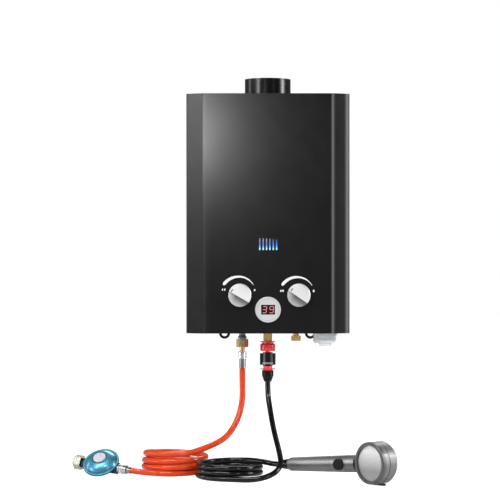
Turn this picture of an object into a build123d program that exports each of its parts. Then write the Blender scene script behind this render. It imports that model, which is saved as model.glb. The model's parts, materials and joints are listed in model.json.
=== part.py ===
from build123d import *
import os
from math import atan, cos, pi, radians, sin, tan

# Portable propane water heater with its gas hose, regulator and hand shower, in millimetres.
# +Z is up and the front face looks along -Y. The origin is the centre of the back plate's
# wall face, where the heater hangs on the wall. The hoses lie on a floor at FLOOR_Z.

os.makedirs("parts", exist_ok=True)

# ---------------------------------------------------------------- casing sizes
CASE_W = 300.0          # across the sides
CASE_H = 440.0
CASE_D = 125.0          # wall face to front face
WING_W = 30.0           # bevelled strip down each side of the front, seen square on
WING_SET = 14.0         # how far that strip falls back
BEND_R = 3.0            # outside radius of the cover's bends
SHEET = 1.0             # cover, top and bottom panels
BACK_SHEET = 1.2
FIT = 0.3               # clearance between nested sheets
LIP = 6.0               # returned edge of the cover at its top and bottom
FLANGE = 14.0           # depth of the back plate's side flanges
FLANGE_END = 13.0       # the flanges stop this far from the panels
SCREW_D = 3.0
SCREW_HEAD_D = 7.0
SCREW_HEAD_H = 2.2
SCREW_LONG = 8.0
SCREW_Z = CASE_H / 2 - 40.0         # side screws above and below the middle

EAR_X = 81.0            # hanging ears and keyholes, either side of the middle
EAR_W = 21.0
EAR_DROP = 4.2          # ear hole centre below the casing
EAR_HOLE_D = 11.0
KEYHOLE_Z = CASE_H / 2 - 30.0
KEYHOLE_D = 12.0
KEYHOLE_SLOT = 6.0

FLUE_OD = 85.0
FLUE_WALL = 1.0
FLUE_H = 30.0           # collar standing above the casing
FLUE_RIM = 1.6          # rolled rim at its top
FLUE_FOOT_W = 1.5       # bead round its foot, where a slipped-on duct stops
FLUE_FOOT_H = 0.8       # bead above the casing
FLUE_FLANGE_W = 9.5     # flange under the top panel
CORE_Y = -62.0          # flue, burner, water block and fittings share this depth

# ---------------------------------------------------------------- front controls
KNOB_D = 42.0
KNOB_BASE_H = 9.0
KNOB_RIDGE_H = 8.0
KNOB_Z = 70.5 - CASE_H / 2
GAS_KNOB_X = -51.5
WATER_KNOB_X = 56.3
GAS_RIDGE_TURN = 150.0      # pointer's angle on the front face, from +X, degrees
WATER_RIDGE_TURN = 145.0
SPINDLE_D = 8.0
SPINDLE_RUN = 0.05          # radial running clearance of spindles in their bores
SPINDLE_HOLE = 11.0         # hole in the cover round each spindle
KNOB_GAP = 1.0              # knob above the cover

DISPLAY_D = 47.6
DISPLAY_Z = 43.9 - CASE_H / 2
DISPLAY_PROUD = 3.0
DISPLAY_HOLE = 38.0
WINDOW_W = 25.5
WINDOW_H = 18.0
BOARD_SIZE = 36.0

FLAME_Z = 163.8 - CASE_H / 2
FLAME_SLOTS = 6
FLAME_PITCH = 6.15
FLAME_SLOT_W = 3.4
FLAME_SLOT_H = 22.2

# ---------------------------------------------------------------- bottom fittings
GAS_IN_X = -47.3
HOT_X = 0.0
COLD_X = 52.5
BATTERY_X = CASE_W / 2 - 44.0

GAS_NECK_D = 11.7
GAS_FLARE_D = 16.4
GAS_FLARE_Z = -11.6 - CASE_H / 2        # lower face of the flared seat
HOT_HEX = 16.2
HOT_HEX_TOP = -1.5 - CASE_H / 2
HOT_HEX_LOW = -16.4 - CASE_H / 2
COLD_NECK_D = 10.6
COLD_HEX = 18.0
COLD_HEX_TOP = -6.4 - CASE_H / 2
COLD_HEX_LOW = -16.2 - CASE_H / 2
STEM_FIT = 0.4              # panel holes round the stems

CELL_D = 34.2               # two D cells stood side by side
CELL_H = 61.5
CELL_GAP = 1.0
CELL_WALL = 1.8
CELL_FIT = 0.8
BATTERY_LID_LOW = -18.9 - CASE_H / 2
BATTERY_LID_TOP = -3.4 - CASE_H / 2
LATCH_W = 23.5
LATCH_DROP = 5.2


def case_plan(inset, back):
    """Outline of the casing seen from above, set in from its outside and ending at y = back."""
    turn = atan(WING_SET / WING_W)
    side_x = CASE_W / 2 - inset
    front_x = CASE_W / 2 - WING_W - inset * tan(turn / 2)
    front_y = inset - CASE_D
    side_y = WING_SET - CASE_D + inset * tan(pi / 4 - turn / 2)
    right = [(front_x, front_y), (side_x, side_y), (side_x, back)]
    left = [(-x, y) for x, y in reversed(right)]
    return left + right


def save(name, builder):
    """Label one finished piece and write its file."""
    builder.part.label = name
    export_step(builder.part, f"parts/{name}.step")


# ================================================================ casing
CASE_TOP = CASE_H / 2
COVER_BACK = -FIT
NEST = SHEET + FIT                      # inset of what nests inside the cover
BATTERY_W = CELL_D + 2 * (CELL_FIT + CELL_WALL)
BATTERY_L = 2 * CELL_D + CELL_GAP + 2 * (CELL_FIT + CELL_WALL)

# Front and sides are one bent sheet, with a narrow lip returned at the top and the bottom.
with BuildPart() as front_cover:
    with BuildSketch(Plane.XY.offset(-CASE_TOP)) as cover_plan:
        with BuildLine():
            Polyline(*case_plan(0, COVER_BACK), close=True)
        make_face()
        fillet(cover_plan.vertices().sort_by(Axis.Y)[:4], BEND_R)
    extrude(amount=CASE_H)
    with BuildSketch(Plane.XY.offset(SHEET - CASE_TOP)) as cover_inside:
        with BuildLine():
            Polyline(*case_plan(SHEET, COVER_BACK), close=True)
        make_face()
        fillet(cover_inside.vertices().sort_by(Axis.Y)[:4], BEND_R - SHEET)
    extrude(amount=CASE_H - 2 * SHEET, mode=Mode.SUBTRACT)
    with BuildSketch(Plane.XY.offset(-CASE_TOP)):
        with BuildLine():
            Polyline(*case_plan(LIP, COVER_BACK), close=True)
        make_face()
    extrude(amount=CASE_H, mode=Mode.SUBTRACT)
    with BuildSketch(Plane.XZ.offset(CASE_D - SHEET)):
        with Locations((0, FLAME_Z)):
            with GridLocations(FLAME_PITCH, 1, FLAME_SLOTS, 1):
                SlotOverall(FLAME_SLOT_H, FLAME_SLOT_W, rotation=90)
        with Locations((GAS_KNOB_X, KNOB_Z), (WATER_KNOB_X, KNOB_Z)):
            Circle(SPINDLE_HOLE / 2)
        with Locations((0, DISPLAY_Z)):
            Circle(DISPLAY_HOLE / 2)
    extrude(amount=SHEET, mode=Mode.SUBTRACT)
    with BuildSketch(Plane.YZ.offset(-CASE_W / 2)):
        with Locations((-FLANGE / 2, SCREW_Z), (-FLANGE / 2, -SCREW_Z)):
            Circle(SCREW_D / 2 + FIT)
    extrude(amount=CASE_W, mode=Mode.SUBTRACT)
save("front_cover", front_cover)

# The back plate carries everything: side flanges, two ears below and two keyholes above.
BACK_HALF = CASE_W / 2 - NEST
BACK_TOP = CASE_TOP - NEST
EAR_Z = -CASE_TOP - EAR_DROP
with BuildPart() as back_plate:
    with BuildSketch(Plane.XZ) as back_outline:
        Rectangle(2 * BACK_HALF, 2 * BACK_TOP)
        with Locations((-EAR_X, EAR_Z), (EAR_X, EAR_Z)):
            Circle(EAR_W / 2)
            Rectangle(EAR_W, 2 * EAR_DROP, align=(Align.CENTER, Align.MIN))
        with Locations((-EAR_X, EAR_Z), (EAR_X, EAR_Z)):
            Circle(EAR_HOLE_D / 2, mode=Mode.SUBTRACT)
        with Locations((-EAR_X, KEYHOLE_Z), (EAR_X, KEYHOLE_Z)):
            Circle(KEYHOLE_D / 2, mode=Mode.SUBTRACT)
        with Locations((-EAR_X, KEYHOLE_Z + KEYHOLE_D / 2), (EAR_X, KEYHOLE_Z + KEYHOLE_D / 2)):
            SlotOverall(KEYHOLE_D + KEYHOLE_SLOT, KEYHOLE_SLOT, rotation=90, mode=Mode.SUBTRACT)
    extrude(amount=BACK_SHEET)
    with BuildSketch(Plane.XY.offset(FLANGE_END - BACK_TOP)):
        for side in (-1, 1):
            with Locations((side * (BACK_HALF - BACK_SHEET / 2), -FLANGE / 2)):
                Rectangle(BACK_SHEET, FLANGE)
    extrude(amount=2 * (BACK_TOP - FLANGE_END))
    with BuildSketch(Plane.YZ.offset(-BACK_HALF)):
        with Locations((-FLANGE / 2, SCREW_Z), (-FLANGE / 2, -SCREW_Z)):
            Circle(SCREW_D / 2 + 0.1)
    extrude(amount=2 * BACK_HALF, mode=Mode.SUBTRACT)
save("back_plate", back_plate)

# Top panel, with a rear flange against the back plate and the flue's hole.
PANEL_FLANGE = 10.0
with BuildPart() as top_panel:
    with BuildSketch(Plane.XY.offset(BACK_TOP - SHEET)):
        with BuildLine():
            Polyline(*case_plan(NEST, -BACK_SHEET), close=True)
        make_face()
        with Locations((0, CORE_Y)):
            Circle(FLUE_OD / 2 + FLUE_FOOT_W + STEM_FIT, mode=Mode.SUBTRACT)
    extrude(amount=SHEET)
    with BuildSketch(Plane.XY.offset(BACK_TOP - PANEL_FLANGE)):
        with Locations((0, -BACK_SHEET - SHEET / 2)):
            Rectangle(2 * BACK_HALF - 2 * FLANGE, SHEET)
    extrude(amount=PANEL_FLANGE - SHEET)
save("top_panel", top_panel)

# Bottom panel, with holes for the gas inlet, the two water stems and the battery case.
with BuildPart() as bottom_panel:
    with BuildSketch(Plane.XY.offset(-BACK_TOP)):
        with BuildLine():
            Polyline(*case_plan(NEST, -BACK_SHEET), close=True)
        make_face()
        with Locations((GAS_IN_X, CORE_Y)):
            Circle(GAS_NECK_D / 2 + STEM_FIT, mode=Mode.SUBTRACT)
        with Locations((HOT_X, CORE_Y)):
            Circle(HOT_HEX / 2 + STEM_FIT, mode=Mode.SUBTRACT)
        with Locations((COLD_X, CORE_Y)):
            Circle(COLD_NECK_D / 2 + STEM_FIT, mode=Mode.SUBTRACT)
        with Locations((BATTERY_X, CORE_Y)):
            Rectangle(BATTERY_W + 2 * FIT, BATTERY_L + 2 * FIT, mode=Mode.SUBTRACT)
    extrude(amount=SHEET)
    with BuildSketch(Plane.XY.offset(SHEET - BACK_TOP)):
        with Locations((0, -BACK_SHEET - SHEET / 2)):
            Rectangle(2 * BACK_HALF - 2 * FLANGE, SHEET)
    extrude(amount=PANEL_FLANGE - SHEET)
save("bottom_panel", bottom_panel)

# Pan-head screws through the cover's sides into the back plate's flanges.
with BuildPart() as casing_screws:
    for side in (-1, 1):
        head_plane = Plane(origin=(side * CASE_W / 2, -FLANGE / 2, 0), x_dir=(0, 1, 0), z_dir=(side, 0, 0))
        with BuildSketch(head_plane):
            with Locations((0, SCREW_Z), (0, -SCREW_Z)):
                Circle(SCREW_HEAD_D / 2)
        extrude(amount=SCREW_HEAD_H)
        with BuildSketch(head_plane):
            with Locations((0, SCREW_Z), (0, -SCREW_Z)):
                Circle(SCREW_D / 2)
        extrude(amount=-SCREW_LONG)
    head_rims = casing_screws.edges().filter_by(GeomType.CIRCLE).group_by(Axis.X)
    fillet(head_rims[0] + head_rims[-1], SCREW_HEAD_H * 0.4)
save("casing_screws", casing_screws)

# Flue collar: a short steel tube with a rolled rim, hung by a flange under the top panel.
FLUE_FLANGE_TOP = BACK_TOP - SHEET - FIT
with BuildPart() as flue_collar:
    with BuildSketch(Plane.XZ.offset(-CORE_Y)):
        with BuildLine():
            collar_r = FLUE_OD / 2
            collar_top = CASE_TOP + FLUE_H
            Polyline(
                (collar_r - FLUE_WALL, FLUE_FLANGE_TOP - FLANGE),
                (collar_r, FLUE_FLANGE_TOP - FLANGE),
                (collar_r, FLUE_FLANGE_TOP - SHEET),
                (collar_r + FLUE_FLANGE_W, FLUE_FLANGE_TOP - SHEET),
                (collar_r + FLUE_FLANGE_W, FLUE_FLANGE_TOP),
                (collar_r + FLUE_FOOT_W, FLUE_FLANGE_TOP),
                (collar_r + FLUE_FOOT_W, CASE_TOP + FLUE_FOOT_H),
                (collar_r, CASE_TOP + FLUE_FOOT_H),
                (collar_r, collar_top - FLUE_RIM),
                (collar_r, collar_top),
                (collar_r - FLUE_WALL, collar_top),
                close=True,
            )
        make_face()
    revolve(axis=Axis((0, CORE_Y, 0), (0, 0, 1)))
    fillet(flue_collar.edges().group_by(Axis.Z)[-1], FLUE_WALL * 0.45)
save("flue_collar", flue_collar)

# ================================================================ combustion chamber and burner
CORE_W = 184.0              # copper chamber across the casing
CORE_D = 80.0
CORE_WALL = 0.8
CORE_BEND = 5.0
PIPE_OFF = 0.6              # wrapped pipe clear of the chamber
CORE_LOW = 148.0 - CASE_H / 2
CORE_HIGH = CASE_H / 2 - 80.0
FIN_Z = CASE_H / 2 - 101.0               # middle of the fin pack
FIN_H = 38.0
FIN_COUNT = 19
FIN_PITCH = 9.0
FIN_SHEET = 0.5
PIPE_D = 12.0
PIPE_WALL = 0.8
PIPE_BEND = 11.8            # centreline radius of the pipe's tight bends
PIPE_PASSES = (-24.0, 0.0, 24.0)    # fin pack passes, from the chamber's middle
PASS_FIT = 0.2
SIGHT_W = 50.0              # opening in the chamber's front behind the sight slots
SIGHT_H = 30.0
BURNER_LOW = 108.0 - CASE_H / 2
BURNER_HIGH = 142.0 - CASE_H / 2
BAR_COUNT = 7
BAR_PITCH = 24.0
BAR_W = 12.0
BAR_L = 72.0
TRAY_LOW = 106.0 - CASE_H / 2
MANIFOLD_Z = 121.0 - CASE_H / 2
MANIFOLD_SIZE = 10.0
MANIFOLD_Y = -113.0
JET_D = 5.0
JET_HEX_L = 3.0
JET_SEAT = 0.1              # sealing washer's thickness under each jet
JET_L = 6.0
FEED_X = -28.0
FEED_D = 9.0
ELECTRODE_X = (-38.0, 38.0)
ELECTRODE_DROP = 8.0        # below the middle of the sight opening
CERAMIC_D = 6.0

core_centre = (0, CORE_Y)
CORE_FRONT = CORE_Y - CORE_D / 2

# Chamber: an open rectangular copper duct, pierced for the pipe passes and the sight opening.
with BuildPart() as exchanger_shell:
    with BuildSketch(Plane.XY.offset(CORE_LOW)):
        with Locations(core_centre):
            RectangleRounded(CORE_W, CORE_D, CORE_BEND)
            RectangleRounded(CORE_W - 2 * CORE_WALL, CORE_D - 2 * CORE_WALL, CORE_BEND - CORE_WALL,
                             mode=Mode.SUBTRACT)
    extrude(amount=CORE_HIGH - CORE_LOW)
    with BuildSketch(Plane.YZ.offset(-CORE_W / 2)):
        for pass_y in PIPE_PASSES:
            with Locations((CORE_Y + pass_y, FIN_Z)):
                Circle(PIPE_D / 2 + PASS_FIT)
    extrude(amount=CORE_W, mode=Mode.SUBTRACT)
    with BuildSketch(Plane.XZ.offset(-CORE_FRONT - CORE_WALL)):
        with Locations((0, FLAME_Z)):
            Rectangle(SIGHT_W, SIGHT_H)
        for rod_x in ELECTRODE_X:
            with Locations((rod_x, FLAME_Z - ELECTRODE_DROP)):
                Circle(CERAMIC_D / 2 + PASS_FIT)
    extrude(amount=CORE_WALL, mode=Mode.SUBTRACT)
save("exchanger_shell", exchanger_shell)

# Fin pack: thin copper plates that the pipe's three passes run through.
with BuildPart() as exchanger_fins:
    for number in range(FIN_COUNT):
        fin_x = (number - (FIN_COUNT - 1) / 2) * FIN_PITCH
        with BuildSketch(Plane.YZ.offset(fin_x - FIN_SHEET / 2)):
            with Locations((CORE_Y, FIN_Z)):
                Rectangle(CORE_D - 2 * CORE_WALL - 2 * PASS_FIT, FIN_H)
            for pass_y in PIPE_PASSES:
                with Locations((CORE_Y + pass_y, FIN_Z)):
                    Circle(PIPE_D / 2 + PASS_FIT, mode=Mode.SUBTRACT)
        extrude(amount=FIN_SHEET)
save("exchanger_fins", exchanger_fins)

# Water pipe: up from the water valve, once and a half round the chamber, three times
# through the fins, and down the left side to the hot outlet block.
VALVE_TOP = 94.0 - CASE_H / 2
VALVE_LOW = 46.0 - CASE_H / 2
VALVE_FRONT = -104.0
VALVE_BACK = -50.0
WATER_VALVE_LEFT = 44.0
WATER_VALVE_RIGHT = 72.0
HOT_BLOCK = 22.0            # side of the square brass outlet block
HOT_BLOCK_Z = 24.0 - CASE_H / 2
WRAP_X = CORE_W / 2 + PIPE_D / 2 + PIPE_OFF
WRAP_FRONT = CORE_FRONT - PIPE_D / 2 - PIPE_OFF
WRAP_BACK = CORE_Y + CORE_D / 2 + PIPE_D / 2 + PIPE_OFF
TURN_X = CORE_W / 2 + 16.0
DOWN_X = -113.0
DOWN_Y = CORE_Y + PIPE_PASSES[2]
pipe_points = [
    (WATER_VALVE_RIGHT, CORE_Y, -140),
    (WRAP_X, CORE_Y, -140),
    (WRAP_X, CORE_Y, 0),
    (WRAP_X, WRAP_FRONT, 12),
    (-WRAP_X, WRAP_FRONT, 30),
    (-WRAP_X, WRAP_BACK, 42),
    (WRAP_X, WRAP_BACK, 60),
    (TURN_X, CORE_Y + PIPE_PASSES[0], FIN_Z),
    (-TURN_X, CORE_Y + PIPE_PASSES[0], FIN_Z),
    (-TURN_X, CORE_Y + PIPE_PASSES[1], FIN_Z),
    (TURN_X, CORE_Y + PIPE_PASSES[1], FIN_Z),
    (TURN_X, DOWN_Y, FIN_Z),
    (DOWN_X, DOWN_Y, FIN_Z),
    (DOWN_X, DOWN_Y, HOT_BLOCK_Z),
    (HOT_X, DOWN_Y, HOT_BLOCK_Z),
    (HOT_X, CORE_Y + HOT_BLOCK / 2, HOT_BLOCK_Z),
]
with BuildPart() as water_pipe:
    with BuildLine() as pipe_path:
        FilletPolyline(*pipe_points, radius=PIPE_BEND)
    with BuildSketch(Plane(origin=pipe_points[0], z_dir=(1, 0, 0))):
        Circle(PIPE_D / 2)
        Circle(PIPE_D / 2 - PIPE_WALL, mode=Mode.SUBTRACT)
    sweep()
save("water_pipe", water_pipe)

# Burner tray: a steel box without top or bottom that holds the bars; the jets blow in
# through a row of holes in its front.
bar_places = [(number - (BAR_COUNT - 1) / 2) * BAR_PITCH for number in range(BAR_COUNT)]
TRAY_TOP = CORE_LOW - 0.2
with BuildPart() as burner_tray:
    with BuildSketch(Plane.XY.offset(TRAY_LOW)):
        with Locations(core_centre):
            Rectangle(CORE_W, CORE_D)
            Rectangle(CORE_W - 2 * SHEET, CORE_D - 2 * SHEET, mode=Mode.SUBTRACT)
    extrude(amount=TRAY_TOP - TRAY_LOW)
    with BuildSketch(Plane.XY.offset(TRAY_LOW)):
        for end_y in (-1, 1):
            with Locations((0, CORE_Y + end_y * (CORE_D / 2 - 1.5 * SHEET))):
                Rectangle(CORE_W - 2 * SHEET, 5 * SHEET)
    extrude(amount=BURNER_LOW - TRAY_LOW)
    with BuildSketch(Plane.XZ.offset(-CORE_FRONT - SHEET)):
        for bar_x in bar_places:
            with Locations((bar_x, MANIFOLD_Z)):
                Circle(JET_D / 2 + 1.5)
    extrude(amount=SHEET, mode=Mode.SUBTRACT)
save("burner_tray", burner_tray)

# Burner bars: slim pressed bodies with a rounded throat and slotted tops.
SLOT_COUNT = 9
with BuildPart() as burner_bars:
    for bar_x in bar_places:
        with BuildSketch(Plane.XZ.offset(-CORE_Y - BAR_L / 2)):
            with Locations((bar_x, (BURNER_LOW + BURNER_HIGH) / 2)):
                SlotOverall(BURNER_HIGH - BURNER_LOW, BAR_W, rotation=90)
            with Locations((bar_x, BURNER_HIGH - BAR_W / 2)):
                Rectangle(BAR_W, BAR_W)
            with Locations((bar_x, BURNER_LOW + BAR_W / 2)):
                Rectangle(BAR_W / 2, BAR_W)
        extrude(amount=BAR_L)
    with BuildSketch(Plane.XY.offset(BURNER_HIGH)):
        for bar_x in bar_places:
            with Locations((bar_x, CORE_Y)):
                with GridLocations(1, BAR_L / SLOT_COUNT, 1, SLOT_COUNT):
                    Rectangle(BAR_W * 0.6, 2.0)
    extrude(amount=-4.0, mode=Mode.SUBTRACT)
    with BuildSketch(Plane.XZ.offset(-CORE_Y + BAR_L / 2)):
        for bar_x in bar_places:
            with Locations((bar_x, MANIFOLD_Z)):
                Circle(BAR_W / 2 - 1.5)
    extrude(amount=-18.0, mode=Mode.SUBTRACT)
save("burner_bars", burner_bars)

# Gas manifold: a square tube across the burner's front with a brass jet for each bar, fed
# from the gas valve by a bent pipe.
MANIFOLD_L = 2 * bar_places[-1] + 2 * MANIFOLD_SIZE
FEED_LOW = 78.0 - CASE_H / 2
with BuildPart() as gas_manifold:
    with BuildSketch(Plane.YZ.offset(-MANIFOLD_L / 2)):
        with Locations((MANIFOLD_Y, MANIFOLD_Z)):
            RectangleRounded(MANIFOLD_SIZE, MANIFOLD_SIZE, 1.5)
            Circle(MANIFOLD_SIZE / 2 - 1.5, mode=Mode.SUBTRACT)
    extrude(amount=MANIFOLD_L)
    with BuildLine():
        FilletPolyline(
            (FEED_X, MANIFOLD_Y, MANIFOLD_Z - MANIFOLD_SIZE / 2),
            (FEED_X, MANIFOLD_Y, FEED_LOW),
            (FEED_X, VALVE_FRONT, FEED_LOW),
            radius=FEED_D / 2 + 1.0,
        )
    with BuildSketch(Plane.XY.offset(MANIFOLD_Z - MANIFOLD_SIZE / 2)):
        with Locations((FEED_X, MANIFOLD_Y)):
            Circle(FEED_D / 2)
    sweep()
    with BuildSketch(Plane.XZ.offset(-MANIFOLD_Y - MANIFOLD_SIZE / 2 - JET_SEAT)):
        for bar_x in bar_places:
            with Locations((bar_x, MANIFOLD_Z)):
                RegularPolygon(JET_D / 2 + 1.0, 6)
    extrude(amount=-JET_HEX_L)
    with BuildSketch(Plane.XZ.offset(-MANIFOLD_Y - MANIFOLD_SIZE / 2 - JET_SEAT - JET_HEX_L)):
        for bar_x in bar_places:
            with Locations((bar_x, MANIFOLD_Z)):
                Circle(JET_D / 2)
                Circle(0.5, mode=Mode.SUBTRACT)
    extrude(amount=-JET_L)
save("gas_manifold", gas_manifold)

# Draught hood: gathers the burnt gas from the chamber into the flue.
HOOD_HIGH = CASE_H / 2 - 24.0
HOOD_SPIGOT_TOP = BACK_TOP - SHEET - FIT
HOOD_OD = FLUE_OD - 2 * FLUE_WALL - 1.0
with BuildPart() as draught_hood:
    for inset, mode in ((0, Mode.ADD), (CORE_WALL, Mode.SUBTRACT)):
        with BuildSketch(Plane.XY.offset(CORE_HIGH)):
            with Locations(core_centre):
                RectangleRounded(CORE_W - 2 * inset, CORE_D - 2 * inset, CORE_BEND)
        with BuildSketch(Plane.XY.offset(HOOD_HIGH)):
            with Locations(core_centre):
                Circle(HOOD_OD / 2 - inset)
        loft(mode=mode)
        with BuildSketch(Plane.XY.offset(HOOD_HIGH)):
            with Locations(core_centre):
                Circle(HOOD_OD / 2 - inset)
        extrude(amount=HOOD_SPIGOT_TOP - HOOD_HIGH, mode=mode)
save("draught_hood", draught_hood)

# Spark and flame-sensing electrodes: ceramic rods through the chamber's front, with wires
# reaching over the bars.
with BuildPart() as spark_electrodes:
    for rod_x in ELECTRODE_X:
        with BuildSketch(Plane.XZ.offset(-CORE_FRONT + 10.0)):
            with Locations((rod_x, FLAME_Z - ELECTRODE_DROP)):
                Circle(CERAMIC_D / 2)
        extrude(amount=-24.0)
        with BuildSketch(Plane.XZ.offset(-CORE_FRONT + 2.0)):
            with Locations((rod_x, FLAME_Z - ELECTRODE_DROP)):
                Circle(CERAMIC_D / 2 + 2.5)
        extrude(amount=-2.0)
        with BuildSketch(Plane.XZ.offset(-CORE_FRONT - 14.0)):
            with Locations((rod_x, FLAME_Z - ELECTRODE_DROP)):
                Circle(1.0)
        extrude(amount=-14.0)
save("spark_electrodes", spark_electrodes)

# ================================================================ gas and water valves
GAS_VALVE_LEFT = -74.0
GAS_VALVE_RIGHT = -22.0
VALVE_EDGE = 3.0            # rounding of the cast valve bodies
BOSS_D = 20.0               # boss round each spindle
BOSS_H = 6.0
SPINDLE_DEEP = 24.0         # spindle inside the valve body
ROD_Y = -78.0
ROD_Z = 70.0 - CASE_H / 2
ROD_D = 5.0
ROD_STROKE = 3.0
ROD_LEFT = -34.0            # rod's end in the gas valve
DIAPHRAGM_D = 52.0
DIAPHRAGM_T = 1.2
HOUSING_T = 4.0             # water valve's flange for the diaphragm
COVER_T = 8.8
COVER_WALL = 2.8
COVER_BOSS_LEFT = 20.0
HEAD_D = 16.0
HEAD_T = 2.0
COLLAR_D = 10.0
COLLAR_X = -5.0             # middle of the rod's spring collar
SPRING_D = 9.0
SPRING_WIRE = 0.8
SPRING_TURNS = 5


def valve_block(left, right):
    """Sketch of a cast valve body seen from above."""
    with Locations(((left + right) / 2, (VALVE_FRONT + VALVE_BACK) / 2)):
        RectangleRounded(right - left, VALVE_BACK - VALVE_FRONT, VALVE_EDGE)


def spindle_boss(knob_x):
    """Boss on the valve's front, then the bore of its spindle."""
    with BuildSketch(Plane.XZ.offset(-VALVE_FRONT)) as boss:
        with Locations((knob_x, KNOB_Z)):
            Circle(BOSS_D / 2)
    extrude(boss.sketch, amount=BOSS_H)
    with BuildSketch(Plane.XZ.offset(-VALVE_FRONT + BOSS_H)) as bore:
        with Locations((knob_x, KNOB_Z)):
            Circle(SPINDLE_D / 2 + SPINDLE_RUN)
    extrude(bore.sketch, amount=-BOSS_H - SPINDLE_DEEP, mode=Mode.SUBTRACT)


with BuildPart() as gas_valve_body:
    with BuildSketch(Plane.XY.offset(VALVE_LOW)):
        valve_block(GAS_VALVE_LEFT, GAS_VALVE_RIGHT)
    extrude(amount=VALVE_TOP - VALVE_LOW)
    spindle_boss(GAS_KNOB_X)
    with BuildSketch(Plane.YZ.offset(GAS_VALVE_RIGHT)):
        with Locations((ROD_Y, ROD_Z)):
            Circle(ROD_D / 2 + SPINDLE_RUN)
    extrude(amount=ROD_LEFT - ROD_STROKE - 1.0 - GAS_VALVE_RIGHT, mode=Mode.SUBTRACT)
save("gas_valve_body", gas_valve_body)

# Solenoid: coil can with an end cap, on the gas valve's left side.
SOLENOID_D = 30.0
SOLENOID_L = 24.0
with BuildPart() as gas_solenoid:
    with BuildSketch(Plane.YZ.offset(GAS_VALVE_LEFT)):
        with Locations((ROD_Y, ROD_Z)):
            Circle(SOLENOID_D / 2)
    extrude(amount=-SOLENOID_L)
    fillet(gas_solenoid.edges().group_by(Axis.X)[0], 2.0)
    with BuildSketch(Plane.YZ.offset(GAS_VALVE_LEFT - SOLENOID_L)):
        with Locations((ROD_Y, ROD_Z)):
            RegularPolygon(SOLENOID_D / 5, 6)
    extrude(amount=-3.0)
save("gas_solenoid", gas_solenoid)

with BuildPart() as water_valve_body:
    with BuildSketch(Plane.XY.offset(VALVE_LOW)):
        valve_block(WATER_VALVE_LEFT, WATER_VALVE_RIGHT)
    extrude(amount=VALVE_TOP - VALVE_LOW)
    spindle_boss(WATER_KNOB_X)
    with BuildSketch(Plane.YZ.offset(WATER_VALVE_LEFT)):
        with Locations((ROD_Y, ROD_Z)):
            Circle(DIAPHRAGM_D / 2)
    extrude(amount=-HOUSING_T)
save("water_valve_body", water_valve_body)

DIAPHRAGM_X = WATER_VALVE_LEFT - HOUSING_T - DIAPHRAGM_T
with BuildPart() as water_diaphragm:
    with BuildSketch(Plane.YZ.offset(DIAPHRAGM_X)):
        with Locations((ROD_Y, ROD_Z)):
            Circle(DIAPHRAGM_D / 2)
    extrude(amount=DIAPHRAGM_T)
save("water_diaphragm", water_diaphragm)

with BuildPart() as water_valve_cover:
    with BuildSketch(Plane.YZ.offset(DIAPHRAGM_X)):
        with Locations((ROD_Y, ROD_Z)):
            Circle(DIAPHRAGM_D / 2)
    extrude(amount=-COVER_T)
    with BuildSketch(Plane.YZ.offset(DIAPHRAGM_X)):
        with Locations((ROD_Y, ROD_Z)):
            Circle(DIAPHRAGM_D / 2 - 6.0)
    extrude(amount=COVER_WALL - COVER_T, mode=Mode.SUBTRACT)
    with BuildSketch(Plane.YZ.offset(DIAPHRAGM_X - COVER_T)):
        with Locations((ROD_Y, ROD_Z)):
            Circle(HEAD_D / 2)
            with PolarLocations(DIAPHRAGM_D / 2 - 3.0, 6):
                Circle(2.2)
    extrude(amount=-1.6)
    with BuildSketch(Plane.YZ.offset(DIAPHRAGM_X - COVER_T)):
        with Locations((ROD_Y, ROD_Z)):
            Circle(HEAD_D / 2)
    extrude(amount=COVER_BOSS_LEFT - DIAPHRAGM_X + COVER_T)
    with BuildSketch(Plane.YZ.offset(DIAPHRAGM_X)):
        with Locations((ROD_Y, ROD_Z)):
            Circle(ROD_D / 2 + SPINDLE_RUN)
    extrude(amount=COVER_BOSS_LEFT - DIAPHRAGM_X, mode=Mode.SUBTRACT)
save("water_valve_cover", water_valve_cover)

# Push rod: water pressure moves its head off the diaphragm and opens the gas valve.
with BuildPart() as valve_push_rod:
    with BuildSketch(Plane.YZ.offset(ROD_LEFT)):
        with Locations((ROD_Y, ROD_Z)):
            Circle(ROD_D / 2)
    extrude(amount=DIAPHRAGM_X - FIT - ROD_LEFT)
    with BuildSketch(Plane.YZ.offset(DIAPHRAGM_X - FIT - HEAD_T)):
        with Locations((ROD_Y, ROD_Z)):
            Circle(HEAD_D / 2)
    extrude(amount=HEAD_T)
    with BuildSketch(Plane.YZ.offset(COLLAR_X - HEAD_T / 2)):
        with Locations((ROD_Y, ROD_Z)):
            Circle(COLLAR_D / 2)
    extrude(amount=HEAD_T)
save("valve_push_rod", valve_push_rod)

# Return spring between the gas valve and the rod's collar.
SPRING_L = COLLAR_X - HEAD_T / 2 - FIT - GAS_VALVE_RIGHT - SPRING_WIRE - FIT
SPRING_START = GAS_VALVE_RIGHT + FIT + SPRING_WIRE / 2
SPRING_R = (SPRING_D - SPRING_WIRE) / 2
with BuildPart() as push_rod_spring:
    with BuildLine() as spring_line:
        Helix(
            pitch=SPRING_L / SPRING_TURNS,
            height=SPRING_L,
            radius=SPRING_R,
            center=(SPRING_START, ROD_Y, ROD_Z),
            direction=(1, 0, 0),
        )
    with BuildSketch(Plane(origin=spring_line.line @ 0, z_dir=spring_line.line % 0)):
        Circle(SPRING_WIRE / 2)
    sweep()
save("push_rod_spring", push_rod_spring)

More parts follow.
